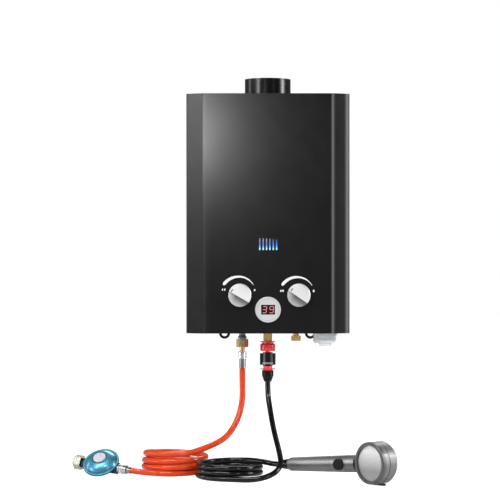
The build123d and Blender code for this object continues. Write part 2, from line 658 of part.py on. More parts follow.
# Microswitch over the collar, on a small angle from the gas valve.
SWITCH_L = 20.0
SWITCH_W = 6.4
SWITCH_H = 10.0
SWITCH_LOW = ROD_Z + COLLAR_D / 2 + 2.0
BRACKET_T = 1.2
with BuildPart() as flow_microswitch:
    with BuildSketch(Plane.XY.offset(SWITCH_LOW)):
        with Locations((COLLAR_X, ROD_Y)):
            Rectangle(SWITCH_L, SWITCH_W)
    extrude(amount=SWITCH_H)
    with BuildSketch(Plane.XY.offset(SWITCH_LOW)):
        with Locations((COLLAR_X, ROD_Y)):
            Circle(1.0)
    extrude(amount=FIT - 2.0)
    with BuildSketch(Plane.XZ.offset(-ROD_Y - SWITCH_W)):
        with BuildLine():
            Polyline(
                (GAS_VALVE_RIGHT, SWITCH_LOW),
                (GAS_VALVE_RIGHT + BRACKET_T, SWITCH_LOW),
                (GAS_VALVE_RIGHT + BRACKET_T, SWITCH_LOW + SWITCH_H),
                (COLLAR_X + SWITCH_L / 2, SWITCH_LOW + SWITCH_H),
                (COLLAR_X + SWITCH_L / 2, SWITCH_LOW + SWITCH_H + BRACKET_T),
                (GAS_VALVE_RIGHT, SWITCH_LOW + SWITCH_H + BRACKET_T),
                close=True,
            )
        make_face()
    extrude(amount=2 * SWITCH_W)
save("flow_microswitch", flow_microswitch)

# Pulse igniter box on the bottom panel, with two lead sockets on top.
IGNITER_X = 38.0 - CASE_W / 2
IGNITER_Y = -88.0
IGNITER_W = 54.0
IGNITER_D = 34.0
IGNITER_H = 30.0
PANEL_TOP = SHEET - BACK_TOP
with BuildPart() as pulse_igniter:
    with BuildSketch(Plane.XY.offset(PANEL_TOP)):
        with Locations((IGNITER_X, IGNITER_Y)):
            RectangleRounded(IGNITER_W, IGNITER_D, 2.0)
    extrude(amount=IGNITER_H)
    fillet(pulse_igniter.edges().group_by(Axis.Z)[-1], 1.5)
    with BuildSketch(Plane.XY.offset(PANEL_TOP + IGNITER_H)):
        with Locations((IGNITER_X, IGNITER_Y)):
            with GridLocations(IGNITER_W / 2, 1, 2, 1):
                Circle(4.0)
                Circle(1.5, mode=Mode.SUBTRACT)
    extrude(amount=8.0)
save("pulse_igniter", pulse_igniter)

# Water sensors: the overheat cutout on the chamber's left wall and the outlet probe.
CUTOUT_Z = CASE_H / 2 - 136.0
with BuildPart() as water_sensors:
    with BuildSketch(Plane.YZ.offset(-CORE_W / 2)):
        with Locations((CORE_Y, CUTOUT_Z)):
            RectangleRounded(24.0, 12.0, 4.0)
    extrude(amount=-SHEET)
    with BuildSketch(Plane.YZ.offset(-CORE_W / 2 - SHEET)):
        with Locations((CORE_Y, CUTOUT_Z)):
            Circle(7.0)
    extrude(amount=-6.0)
    with BuildSketch(Plane.XZ.offset(-CORE_Y + HOT_BLOCK / 2)):
        with Locations((HOT_X, HOT_BLOCK_Z)):
            RegularPolygon(6.0, 6)
    extrude(amount=5.0)
save("water_sensors", water_sensors)

# ================================================================ knobs and display
KNOB_BACK = -CASE_D - KNOB_GAP
KNOB_H = KNOB_BASE_H + KNOB_RIDGE_H
KNOB_EDGE = 1.2             # bevel of the knob's rim
RIDGE_OFF = 3.6             # ridge from the knob's middle
RIDGE_STEP = 5.0            # drop from the knob's ridge to its cut-away half
KNOB_BORE = 10.0
POINTER_OUT = 16.4          # pointer mark from the knob's centre
POINTER_L = 5.6
POINTER_W = 1.4
POINTER_DEEP = 0.6


def spindle(knob_x):
    """Spindle from inside its valve to inside its knob."""
    with BuildSketch(Plane.XZ.offset(-VALVE_FRONT - SPINDLE_DEEP + FIT)) as section:
        with Locations((knob_x, KNOB_Z)):
            Circle(SPINDLE_D / 2)
    extrude(section.sketch, amount=SPINDLE_DEEP - FIT - KNOB_BACK + VALVE_FRONT + KNOB_BORE - 1.0)


def knob(knob_x, pointer_turn):
    """Round knob whose face drops away on one side of a straight ridge along the pointer."""
    turn = radians(pointer_turn)
    along = (cos(turn), 0, sin(turn))
    face = (knob_x, KNOB_BACK - KNOB_H, KNOB_Z)
    with BuildSketch(Plane.XZ.offset(-KNOB_BACK)) as outline:
        with Locations((knob_x, KNOB_Z)):
            Circle(KNOB_D / 2)
    disc = extrude(outline.sketch, amount=KNOB_H)
    chamfer(disc.edges().group_by(Axis.Y)[0], KNOB_EDGE)
    with BuildSketch(Plane(origin=face, x_dir=(0, 1, 0), z_dir=along).offset(-KNOB_D / 2)) as step:
        with BuildLine():
            Polyline(
                (0, RIDGE_OFF),
                (RIDGE_STEP, RIDGE_OFF),
                (KNOB_EDGE + 1.0, KNOB_D / 2 + 1.0),
                (-1.0, KNOB_D / 2 + 1.0),
                (-1.0, RIDGE_OFF),
                close=True,
            )
        make_face()
    extrude(step.sketch, amount=KNOB_D, mode=Mode.SUBTRACT)
    with BuildSketch(Plane(origin=face, x_dir=along, z_dir=(0, -1, 0))) as mark:
        with Locations((POINTER_OUT, RIDGE_OFF - POINTER_L / 2 - 0.8)):
            SlotOverall(POINTER_L, POINTER_W, rotation=90)
    extrude(mark.sketch, amount=-POINTER_DEEP, mode=Mode.SUBTRACT)
    with BuildSketch(Plane.XZ.offset(-KNOB_BACK)) as bore:
        with Locations((knob_x, KNOB_Z)):
            Circle(SPINDLE_D / 2 + SPINDLE_RUN)
    extrude(bore.sketch, amount=KNOB_BORE, mode=Mode.SUBTRACT)


with BuildPart() as gas_spindle:
    spindle(GAS_KNOB_X)
save("gas_spindle", gas_spindle)

with BuildPart() as water_spindle:
    spindle(WATER_KNOB_X)
save("water_spindle", water_spindle)

with BuildPart() as gas_knob:
    knob(GAS_KNOB_X, GAS_RIDGE_TURN)
save("gas_knob", gas_knob)

with BuildPart() as water_knob:
    knob(WATER_KNOB_X, WATER_RIDGE_TURN)
save("water_knob", water_knob)

# Display bezel: a shallow round frame with a ring groove, held through the cover.
DISPLAY_FRONT = -CASE_D - DISPLAY_PROUD
BOSS_BACK = -118.0
with BuildPart() as display_bezel:
    with BuildSketch(Plane.XZ.offset(CASE_D)):
        with Locations((0, DISPLAY_Z)):
            Circle(DISPLAY_D / 2)
    extrude(amount=DISPLAY_PROUD)
    fillet(display_bezel.edges().group_by(Axis.Y)[0], 1.2)
    with BuildSketch(Plane.XZ.offset(-DISPLAY_FRONT)):
        with Locations((0, DISPLAY_Z)):
            Circle(DISPLAY_D / 2 - 3.6)
            Circle(DISPLAY_D / 2 - 4.4, mode=Mode.SUBTRACT)
    extrude(amount=-0.4, mode=Mode.SUBTRACT)
    with BuildSketch(Plane.XZ.offset(-BOSS_BACK)):
        with Locations((0, DISPLAY_Z)):
            Circle(DISPLAY_HOLE / 2 - FIT)
            Circle(DISPLAY_HOLE / 2 - 2.0, mode=Mode.SUBTRACT)
    extrude(amount=CASE_D + BOSS_BACK)
    with BuildSketch(Plane.XZ.offset(CASE_D)):
        with Locations((0, DISPLAY_Z)):
            Rectangle(WINDOW_W, WINDOW_H)
    extrude(amount=DISPLAY_PROUD, mode=Mode.SUBTRACT)
save("display_bezel", display_bezel)

WINDOW_T = 1.5
with BuildPart() as display_window:
    with BuildSketch(Plane.XZ.offset(-DISPLAY_FRONT - WINDOW_T)):
        with Locations((0, DISPLAY_Z)):
            Rectangle(WINDOW_W - 2 * PASS_FIT, WINDOW_H - 2 * PASS_FIT)
    extrude(amount=WINDOW_T - FIT)
save("display_window", display_window)

BOARD_T = 1.6
with BuildPart() as display_board:
    with BuildSketch(Plane.XZ.offset(-BOSS_BACK - BOARD_T)):
        with Locations((0, DISPLAY_Z)):
            Rectangle(BOARD_SIZE, BOARD_SIZE)
    extrude(amount=BOARD_T)
    with BuildSketch(Plane.XZ.offset(-BOSS_BACK)):
        with Locations((0, DISPLAY_Z)):
            Rectangle(WINDOW_W - 1.0, WINDOW_H - 1.0)
    extrude(amount=BOSS_BACK - DISPLAY_FRONT - WINDOW_T - FIT)
save("display_board", display_board)

# Clear pane behind the sight slots.
PANE_W = 46.0
PANE_H = 34.0
PANE_T = 0.8
with BuildPart() as flame_window:
    with BuildSketch(Plane.XZ.offset(CASE_D - SHEET - PANE_T)):
        with Locations((0, FLAME_Z)):
            RectangleRounded(PANE_W, PANE_H, 2.0)
    extrude(amount=PANE_T)
save("flame_window", flame_window)

# ================================================================ battery box
BATTERY_FLANGE = 2.0
CASE_LOW = BATTERY_LID_TOP + FIT
PANEL_UNDER = -BACK_TOP
CELL_LOW = CASE_LOW + 0.7
CONTACT_H = 6.0
CELL_ROOM_TOP = CELL_LOW + CELL_H + CONTACT_H
HINGE_D = 6.0
HINGE_PIN_D = 2.5
HINGE_RUN = 0.05
HINGE_Y = CORE_Y + BATTERY_L / 2 + BATTERY_FLANGE + HINGE_D / 2 + 0.5
HINGE_Z = PANEL_UNDER - HINGE_D / 2 - 0.3
HINGE_MIDDLE = 22.0         # length of the lid's knuckle
HINGE_SIDE = 8.0            # length of each of the case's knuckles
cell_places = [(BATTERY_X, CORE_Y + side * (CELL_D + CELL_GAP) / 2) for side in (-1, 1)]

# Case: an open-bottomed box through the bottom panel, with a flange and two hinge knuckles.
with BuildPart() as battery_case:
    with BuildSketch(Plane.XY.offset(CASE_LOW)):
        with Locations((BATTERY_X, CORE_Y)):
            RectangleRounded(BATTERY_W, BATTERY_L, 3.0)
    extrude(amount=CELL_ROOM_TOP + CELL_WALL - CASE_LOW)
    with BuildSketch(Plane.XY.offset(CASE_LOW)):
        with Locations((BATTERY_X, CORE_Y)):
            RectangleRounded(BATTERY_W + 2 * BATTERY_FLANGE, BATTERY_L + 2 * BATTERY_FLANGE, 4.0)
    extrude(amount=PANEL_UNDER - CASE_LOW)
    with BuildSketch(Plane.XY.offset(CASE_LOW)):
        with Locations((BATTERY_X, CORE_Y)):
            RectangleRounded(BATTERY_W - 2 * CELL_WALL, BATTERY_L - 2 * CELL_WALL, 1.5)
    extrude(amount=CELL_ROOM_TOP - CASE_LOW, mode=Mode.SUBTRACT)
    knuckle_plane = Plane(origin=(BATTERY_X, HINGE_Y, HINGE_Z), x_dir=(0, 1, 0), z_dir=(1, 0, 0))
    for start in (-HINGE_MIDDLE / 2 - FIT - HINGE_SIDE, HINGE_MIDDLE / 2 + FIT):
        with BuildSketch(knuckle_plane.offset(start)):
            Circle(HINGE_D / 2)
            with Locations((-HINGE_D / 4 - 0.25, HINGE_D / 4)):
                Rectangle(HINGE_D / 2 + 0.5, HINGE_D / 2)
        extrude(amount=HINGE_SIDE)
    with BuildSketch(knuckle_plane.offset(-HINGE_MIDDLE / 2 - FIT)):
        Circle(HINGE_PIN_D / 2)
    extrude(amount=HINGE_MIDDLE + 2 * FIT)
save("battery_case", battery_case)

# Lid: a shallow tray with a latch tab in front and one knuckle behind.
LID_W = BATTERY_W + 1.2
LID_L = BATTERY_L + 1.2
LID_BACK = CORE_Y + LID_L / 2
LATCH_L = 6.0
with BuildPart() as battery_lid:
    with BuildSketch(Plane.XY.offset(BATTERY_LID_LOW)):
        with Locations((BATTERY_X, CORE_Y)):
            RectangleRounded(LID_W, LID_L, 4.0)
    extrude(amount=BATTERY_LID_TOP - BATTERY_LID_LOW)
    fillet(battery_lid.edges().group_by(Axis.Z)[0], 2.0)
    with BuildSketch(Plane.XY.offset(BATTERY_LID_LOW + CELL_WALL)):
        with Locations((BATTERY_X, CORE_Y)):
            RectangleRounded(LID_W - 2 * CELL_WALL, LID_L - 2 * CELL_WALL, 2.2)
    extrude(amount=BATTERY_LID_TOP - BATTERY_LID_LOW - CELL_WALL, mode=Mode.SUBTRACT)
    with BuildSketch(Plane.XY.offset(BATTERY_LID_LOW + CELL_WALL)):
        with Locations(*cell_places):
            Circle(CELL_D / 4)
    extrude(amount=CELL_LOW - FIT - BATTERY_LID_LOW - CELL_WALL)
    with BuildSketch(Plane.XY.offset(BATTERY_LID_LOW)):
        with Locations((BATTERY_X, CORE_Y - LID_L / 2 + LATCH_L)):
            RectangleRounded(LATCH_W, LATCH_L, 2.0)
    extrude(amount=-LATCH_DROP, taper=4)
    with BuildSketch(knuckle_plane.offset(-HINGE_MIDDLE / 2)):
        Circle(HINGE_D / 2)
        with BuildLine():
            Polyline(
                (-HINGE_D / 2, 0),
                (0, 0),
                (0, -HINGE_D),
                (LID_BACK - HINGE_Y, BATTERY_LID_LOW + 4.0 - HINGE_Z),
                (LID_BACK - HINGE_Y, BATTERY_LID_TOP - HINGE_Z),
                (-HINGE_D / 2, BATTERY_LID_TOP - HINGE_Z),
                close=True,
            )
        make_face()
        Circle(HINGE_PIN_D / 2 + HINGE_RUN, mode=Mode.SUBTRACT)
    extrude(amount=HINGE_MIDDLE)
save("battery_lid", battery_lid)

# Two D cells, each with its positive button.
BUTTON_D = 9.5
BUTTON_H = 1.5
with BuildPart() as batteries:
    with BuildSketch(Plane.XY.offset(CELL_LOW)):
        with Locations(*cell_places):
            Circle(CELL_D / 2)
    extrude(amount=CELL_H - BUTTON_H)
    fillet(batteries.edges().filter_by(GeomType.CIRCLE), 1.0)
    with BuildSketch(Plane.XY.offset(CELL_LOW + CELL_H - BUTTON_H)):
        with Locations(*cell_places):
            Circle(BUTTON_D / 2)
    extrude(amount=BUTTON_H)
save("batteries", batteries)

# Top contacts: a plate and a stepped spring over each cell.
with BuildPart() as battery_contacts:
    with BuildSketch(Plane.XY.offset(CELL_ROOM_TOP)):
        with Locations(*cell_places):
            Rectangle(CELL_D * 0.6, CELL_D * 0.6)
    extrude(amount=-0.8)
    with BuildSketch(Plane.XY.offset(CELL_ROOM_TOP - 0.8)):
        with Locations(*cell_places):
            Circle(CELL_D / 5)
    extrude(amount=-(CONTACT_H - 0.8 - FIT), taper=30)
save("battery_contacts", battery_contacts)

# ================================================================ fittings under the casing


def turned(plane, outline, mode=Mode.ADD):
    """Turn an outline of (radius, distance along the axis) about the plane's y direction."""
    with BuildSketch(plane) as profile:
        with BuildLine():
            Polyline(*outline, close=True)
        make_face()
    revolve(profile.sketch, axis=Axis(plane.origin, plane.y_dir), mode=mode)


def prism(plane, radius, sides, length, mode=Mode.ADD):
    """Bar of regular section raised from a plane; sides below three give a round one."""
    with BuildSketch(plane) as section:
        if sides < 3:
            Circle(radius)
        else:
            RegularPolygon(radius, sides)
    extrude(section.sketch, amount=length, mode=mode)


def upright(x):
    """Plane through a fitting's upright axis, with its own y direction up and heights from z = 0."""
    return Plane(origin=(x, CORE_Y, 0), x_dir=(1, 0, 0), z_dir=(0, -1, 0))


def level(x, z):
    """Level plane on a fitting's axis."""
    return Plane(origin=(x, CORE_Y, z), x_dir=(1, 0, 0), z_dir=(0, 0, 1))


GAS_BORE = 6.0
GAS_STUD_D = 12.0
GAS_STUD_LOW = -20.2 - CASE_H / 2
GAS_NUT_TOP = -12.6 - CASE_H / 2
GAS_NUT_LOW = -27.4 - CASE_H / 2
GAS_NUT_AC = 22.5           # across corners
GAS_STEM_D = 9.3
STEM_HEAD_D = 13.6
STEM_HEAD_T = 2.4
NUT_RUN = 0.2
GAS_COLLAR_D = 15.4
GAS_COLLAR_TOP = -36.0 - CASE_H / 2
GAS_COLLAR_LOW = -49.2 - CASE_H / 2
GAS_FERRULE_D = 12.6
GAS_HOSE_TOP = -66.3 - CASE_H / 2

# Gas inlet: steel neck, flared seat and a threaded stud that the hose nut runs on.
with BuildPart() as gas_inlet:
    turned(upright(GAS_IN_X), [
        (GAS_BORE / 2, VALVE_LOW),
        (GAS_NECK_D / 2, VALVE_LOW),
        (GAS_NECK_D / 2, -225.0),
        (GAS_FLARE_D / 2, GAS_FLARE_Z + 2.0),
        (GAS_FLARE_D / 2, GAS_FLARE_Z),
        (GAS_STUD_D / 2, GAS_FLARE_Z),
        (GAS_STUD_D / 2, GAS_STUD_LOW),
        (GAS_BORE / 2, GAS_STUD_LOW),
    ])
save("gas_inlet", gas_inlet)

# Brass hose nut, free to turn between the stud and the head of the hose's stem.
STEM_HEAD_TOP = GAS_STUD_LOW - FIT
STEM_HEAD_LOW = STEM_HEAD_TOP - STEM_HEAD_T
with BuildPart() as gas_hose_nut:
    prism(level(GAS_IN_X, GAS_NUT_LOW), GAS_NUT_AC / 2, 6, GAS_NUT_TOP - GAS_NUT_LOW)
    turned(upright(GAS_IN_X), [
        (0, GAS_NUT_LOW),
        (GAS_STEM_D / 2 + NUT_RUN, GAS_NUT_LOW),
        (GAS_STEM_D / 2 + NUT_RUN, STEM_HEAD_LOW - NUT_RUN),
        (STEM_HEAD_D / 2 + NUT_RUN, STEM_HEAD_LOW - NUT_RUN),
        (STEM_HEAD_D / 2 + NUT_RUN, STEM_HEAD_TOP + NUT_RUN),
        (GAS_STUD_D / 2 + NUT_RUN, STEM_HEAD_TOP + NUT_RUN),
        (GAS_STUD_D / 2 + NUT_RUN, GAS_NUT_TOP),
        (0, GAS_NUT_TOP),
    ], mode=Mode.SUBTRACT)
save("gas_hose_nut", gas_hose_nut)

# Hot outlet: square block on the end of the water pipe, with a hexagon and a nose below.
HOT_STEM_D = 14.0
HOT_BORE = 7.0
HOT_NOSE_D = 10.0
HOT_NOSE_LOW = -26.0 - CASE_H / 2
with BuildPart() as hot_outlet:
    with BuildSketch(level(HOT_X, HOT_BLOCK_Z - HOT_BLOCK / 2)):
        Rectangle(HOT_BLOCK, HOT_BLOCK)
    extrude(amount=HOT_BLOCK)
    prism(level(HOT_X, HOT_HEX_TOP), HOT_STEM_D / 2, 1, HOT_BLOCK_Z - HOT_BLOCK / 2 - HOT_HEX_TOP)
    prism(level(HOT_X, HOT_HEX_LOW), HOT_HEX / 2, 6, HOT_HEX_TOP - HOT_HEX_LOW)
    prism(level(HOT_X, HOT_NOSE_LOW), HOT_NOSE_D / 2, 1, HOT_HEX_LOW - HOT_NOSE_LOW)
    prism(level(HOT_X, HOT_NOSE_LOW), HOT_BORE / 2, 1, HOT_BLOCK_Z - HOT_NOSE_LOW, Mode.SUBTRACT)
save("hot_outlet", hot_outlet)

# Cold inlet: brass union with a rounded shoulder, open below.
COLD_BORE = 8.0
with BuildPart() as cold_inlet:
    prism(level(COLD_X, COLD_HEX_TOP), COLD_NECK_D / 2, 1, VALVE_LOW - COLD_HEX_TOP)
    prism(level(COLD_X, COLD_HEX_LOW), COLD_HEX / 2, 6, COLD_HEX_TOP - COLD_HEX_LOW)
    chamfer(cold_inlet.edges().group_by(Axis.Z)[0], 0.8)
    prism(level(COLD_X, COLD_HEX_LOW), COLD_BORE / 2, 1, VALVE_LOW - COLD_HEX_LOW, Mode.SUBTRACT)
save("cold_inlet", cold_inlet)

# Outlet adaptor: thin flange, domed neck and grip ring over a long plug.
ADAPTOR_TOP = -16.8 - CASE_H / 2
ADAPTOR_D = 27.9
ADAPTOR_NECK_D = 20.5
ADAPTOR_RING_TOP = -22.1 - CASE_H / 2
ADAPTOR_RING_LOW = -34.7 - CASE_H / 2
PLUG_D = 9.0
PLUG_LOW = -54.0 - CASE_H / 2
with BuildPart() as outlet_adaptor:
    turned(upright(HOT_X), [
        (HOT_NOSE_D / 2 + PASS_FIT, ADAPTOR_TOP),
        (ADAPTOR_D / 2, ADAPTOR_TOP),
        (ADAPTOR_D / 2, ADAPTOR_TOP - 1.6),
        (ADAPTOR_NECK_D / 2, ADAPTOR_TOP - 1.6),
        (ADAPTOR_NECK_D / 2, ADAPTOR_TOP - 3.2),
        (ADAPTOR_D / 2 - 1.0, ADAPTOR_RING_TOP),
        (ADAPTOR_D / 2, ADAPTOR_RING_TOP - 1.0),
        (ADAPTOR_D / 2, ADAPTOR_RING_LOW + 1.0),
        (ADAPTOR_D / 2 - 1.0, ADAPTOR_RING_LOW),
        (PLUG_D / 2, ADAPTOR_RING_LOW),
        (PLUG_D / 2, PLUG_LOW),
        (PLUG_D / 4, PLUG_LOW),
        (PLUG_D / 4, HOT_NOSE_LOW - FIT),
        (HOT_NOSE_D / 2 + PASS_FIT, HOT_NOSE_LOW - FIT),
    ])
save("outlet_adaptor", outlet_adaptor)

# Coupler core: a tube over the adaptor's plug, standing on a ring with two finger points.
CORE_TUBE_D = 13.0
SLEEVE_TOP = -37.1 - CASE_H / 2
SLEEVE_LOW = -62.4 - CASE_H / 2
SLEEVE_STROKE = 1.8
RING_LOW = -70.6 - CASE_H / 2
RING_D = 16.7
POINT_SPAN = 28.7
POINT_TOP = -67.4 - CASE_H / 2
POINT_T = 1.6
with BuildPart() as coupler_core:
    turned(upright(HOT_X), [
        (PLUG_D / 2 + PASS_FIT, SLEEVE_TOP - 0.5),
        (CORE_TUBE_D / 2, SLEEVE_TOP - 0.5),
        (CORE_TUBE_D / 2, SLEEVE_LOW - FIT),
        (RING_D / 2, SLEEVE_LOW - FIT),
        (RING_D / 2, RING_LOW),
        (PLUG_D / 4, RING_LOW),
        (PLUG_D / 4, PLUG_LOW - FIT),
        (PLUG_D / 2 + PASS_FIT, PLUG_LOW - FIT),
    ])
    with BuildSketch(level(HOT_X, POINT_TOP - POINT_T)):
        Ellipse(POINT_SPAN / 2, RING_D / 2)
        Circle(RING_D / 2 - 1.0, mode=Mode.SUBTRACT)
    extrude(amount=POINT_T)
save("coupler_core", coupler_core)

# Coupler sleeve: slides up the core to let the adaptor go; barrel with two side grips.
SLEEVE_D = 18.6
SLEEVE_SPAN = 29.4
WING_T = 9.0
with BuildPart() as coupler_sleeve:
    prism(level(HOT_X, SLEEVE_LOW), SLEEVE_D / 2, 1, SLEEVE_TOP - SLEEVE_LOW)
    with BuildSketch(level(HOT_X, SLEEVE_LOW + 2.0)):
        RectangleRounded(SLEEVE_SPAN, WING_T, WING_T * 0.45)
    extrude(amount=SLEEVE_TOP - SLEEVE_LOW - 4.0)
    prism(level(HOT_X, SLEEVE_LOW), CORE_TUBE_D / 2 + SPINDLE_RUN, 1, SLEEVE_TOP - SLEEVE_LOW,
          Mode.SUBTRACT)
save("coupler_sleeve", coupler_sleeve)

# Coupler nut: ribbed, tapering down onto the hose.
NUT_D = 21.6
NUT_SHOULDER = -80.7 - CASE_H / 2
NUT_END_D = 13.8
SHOWER_HOSE_TOP = -91.4 - CASE_H / 2
RIB_COUNT = 18
with BuildPart() as coupler_nut:
    turned(upright(HOT_X), [
        (0, RING_LOW),
        (NUT_D / 2, RING_LOW),
        (NUT_D / 2, NUT_SHOULDER),
        (NUT_END_D / 2, SHOWER_HOSE_TOP),
        (0, SHOWER_HOSE_TOP),
    ])
    with BuildSketch(level(HOT_X, NUT_SHOULDER)):
        with PolarLocations(NUT_D / 2, RIB_COUNT):
            Circle(0.7)
    extrude(amount=RING_LOW - NUT_SHOULDER, mode=Mode.SUBTRACT)
save("coupler_nut", coupler_nut)

# ================================================================ regulator
FLOOR_Z = -481.0            # the floor that the hoses, the regulator and the shower lie on
REG_CENTRE = (-307.0, -105.0, -458.2)
REG_UP = Vector(-0.19, -0.61, 0.77).normalized()        # towards its bonnet
REG_LEAN = Vector(0.93, -0.416, -0.10)                  # inlet towards outlet, near enough
REG_ALONG = (REG_LEAN - REG_UP * REG_LEAN.dot(REG_UP)).normalized()
REG_FLANGE_R = 34.0
REG_FLANGE_T = 1.5          # each half of the clamped rim
REG_AXIS_DROP = 8.5         # inlet and outlet axis below the rim's middle
REG_BORE = 6.0
CAP_R = 11.6
CAP_SEAT = 12.4
CAP_TOP = 15.0
BONNET_WALL = 2.0

# Seen along the regulator: x runs from its inlet to its outlet, y up through the bonnet.
reg_profile = Plane(origin=REG_CENTRE, x_dir=REG_ALONG, z_dir=REG_ALONG.cross(REG_UP))
reg_axis = Vector(*REG_CENTRE) - REG_UP * REG_AXIS_DROP


def reg_cross(along):
    """Plane square to the inlet and outlet axis, its distance from the regulator's middle."""
    return Plane(origin=reg_axis + REG_ALONG * along, x_dir=REG_UP, z_dir=REG_ALONG)


# Lower casting: clamped rim, bowl, square outlet boss, and an inlet boss whose headed tail
# holds the hand nut.
BOSS_R = 8.5
INLET_FACE = -40.6
OUTLET_FACE = 34.3
HAND_NUT_AC = 27.6
HAND_NUT_L = 15.2
HAND_GAP = 0.4
HAND_FLOOR = 4.0            # thickness of the nut's inner shoulder
TAIL_R = 6.0
TAIL_HEAD_R = 8.6
TAIL_HEAD_T = 2.5
TAIL_NOSE = 4.0
with BuildPart() as regulator_body:
    turned(reg_profile, [
        (0, -REG_FLANGE_T),
        (REG_FLANGE_R - 1.0, -REG_FLANGE_T),
        (REG_FLANGE_R, -REG_FLANGE_T + 0.5),
        (REG_FLANGE_R, 0),
        (REG_FLANGE_R - 3.0, 0),
        (0, 0),
    ])
    turned(reg_profile, [
        (0, -REG_FLANGE_T),
        (REG_FLANGE_R - 5.0, -REG_FLANGE_T),
        (REG_FLANGE_R - 8.0, -7.0),
        (REG_FLANGE_R - 15.0, -12.0),
        (0, -14.0),
    ])
    prism(reg_cross(INLET_FACE), BOSS_R, 1, -INLET_FACE + OUTLET_FACE / 4)
    with BuildSketch(reg_cross(OUTLET_FACE)):
        RectangleRounded(2 * BOSS_R - 2.0, 2 * BOSS_R, 2.0)
    extrude(amount=-OUTLET_FACE / 2)
    tail_head = INLET_FACE - HAND_GAP - HAND_FLOOR - NUT_RUN
    prism(reg_cross(INLET_FACE), TAIL_R, 1, tail_head - TAIL_HEAD_T - TAIL_NOSE - INLET_FACE)
    prism(reg_cross(tail_head), TAIL_HEAD_R, 1, -TAIL_HEAD_T)
    prism(reg_cross(OUTLET_FACE), REG_BORE / 2, 1, tail_head - TAIL_HEAD_T - TAIL_NOSE - OUTLET_FACE,
          Mode.SUBTRACT)
    turned(reg_profile, [
        (0, -4.0),
        (REG_FLANGE_R - 12.0, -4.0),
        (REG_FLANGE_R - 9.0, 0),
        (0, 0),
    ], mode=Mode.SUBTRACT)
save("regulator_body", regulator_body)

# Bonnet: thin domed shell with the upper half of the rim and a round seat for the cap.
with BuildPart() as regulator_bonnet:
    with BuildSketch(reg_profile):
        with BuildLine():
            rim_top = (REG_FLANGE_R - 4.0, REG_FLANGE_T)
            seat_out = (CAP_R + 2.4, CAP_SEAT)
            seat_in = (CAP_R + 2.4 - BONNET_WALL, CAP_SEAT - BONNET_WALL)
            rim_in = (REG_FLANGE_R - 4.0 - BONNET_WALL, 0)
            Polyline((REG_FLANGE_R, 0), (REG_FLANGE_R, REG_FLANGE_T), rim_top)
            ThreePointArc(rim_top, (REG_FLANGE_R - 9.0, 7.6), seat_out)
            Polyline(seat_out, (CAP_R + 0.6, CAP_SEAT), (CAP_R + 0.6, CAP_SEAT - 0.8),
                     (4.0, CAP_SEAT - 0.8), (4.0, CAP_SEAT - BONNET_WALL), seat_in)
            ThreePointArc(seat_in, (REG_FLANGE_R - 10.6, 6.0), rim_in)
            Line(rim_in, (REG_FLANGE_R, 0))
        make_face()
    revolve(axis=Axis(reg_profile.origin, REG_UP))
save("regulator_bonnet", regulator_bonnet)

# Cap over the adjusting screw, with a short threaded stem.
with BuildPart() as regulator_cap:
    turned(reg_profile, [
        (0, CAP_SEAT - 4.0),
        (3.8, CAP_SEAT - 4.0),
        (3.8, CAP_SEAT - 0.6),
        (CAP_R, CAP_SEAT - 0.6),
        (CAP_R, CAP_TOP - 0.8),
        (CAP_R - 0.8, CAP_TOP),
        (0, CAP_TOP),
    ])
save("regulator_cap", regulator_cap)

# Inlet union: a hexagonal nut that turns on the regulator's inlet tail.
with BuildPart() as regulator_hand_nut:
    prism(reg_cross(INLET_FACE - HAND_GAP), HAND_NUT_AC / 2, 6, -HAND_NUT_L)
    chamfer(regulator_hand_nut.faces().sort_by(Axis(reg_axis, REG_ALONG))[0].edges(), 1.2)
    prism(reg_cross(INLET_FACE - HAND_GAP), TAIL_R + NUT_RUN, 1, -HAND_NUT_L, Mode.SUBTRACT)
    prism(reg_cross(INLET_FACE - HAND_GAP - HAND_FLOOR), TAIL_HEAD_R + NUT_RUN, 1,
          HAND_FLOOR - HAND_NUT_L, Mode.SUBTRACT)
save("regulator_hand_nut", regulator_hand_nut)

# Outlet nut: knurled steel union nut between the regulator and the hose's sleeve.
OUTLET_NUT_R = 8.3
OUTLET_NUT_L = 17.0
with BuildPart() as regulator_outlet_nut:
    prism(reg_cross(OUTLET_FACE), OUTLET_NUT_R, 1, OUTLET_NUT_L)
    prism(reg_cross(OUTLET_FACE + OUTLET_NUT_L * 0.7), OUTLET_NUT_R, 1, 1.6, Mode.SUBTRACT)
    prism(reg_cross(OUTLET_FACE + OUTLET_NUT_L * 0.7), OUTLET_NUT_R - 0.8, 1, 1.6)
    with BuildSketch(reg_cross(OUTLET_FACE + 1.0)):
        with PolarLocations(OUTLET_NUT_R, 24):
            Circle(0.45)
    extrude(amount=OUTLET_NUT_L * 0.6, mode=Mode.SUBTRACT)
    prism(reg_cross(OUTLET_FACE), REG_BORE / 2, 1, OUTLET_NUT_L, Mode.SUBTRACT)
save("regulator_outlet_nut", regulator_outlet_nut)

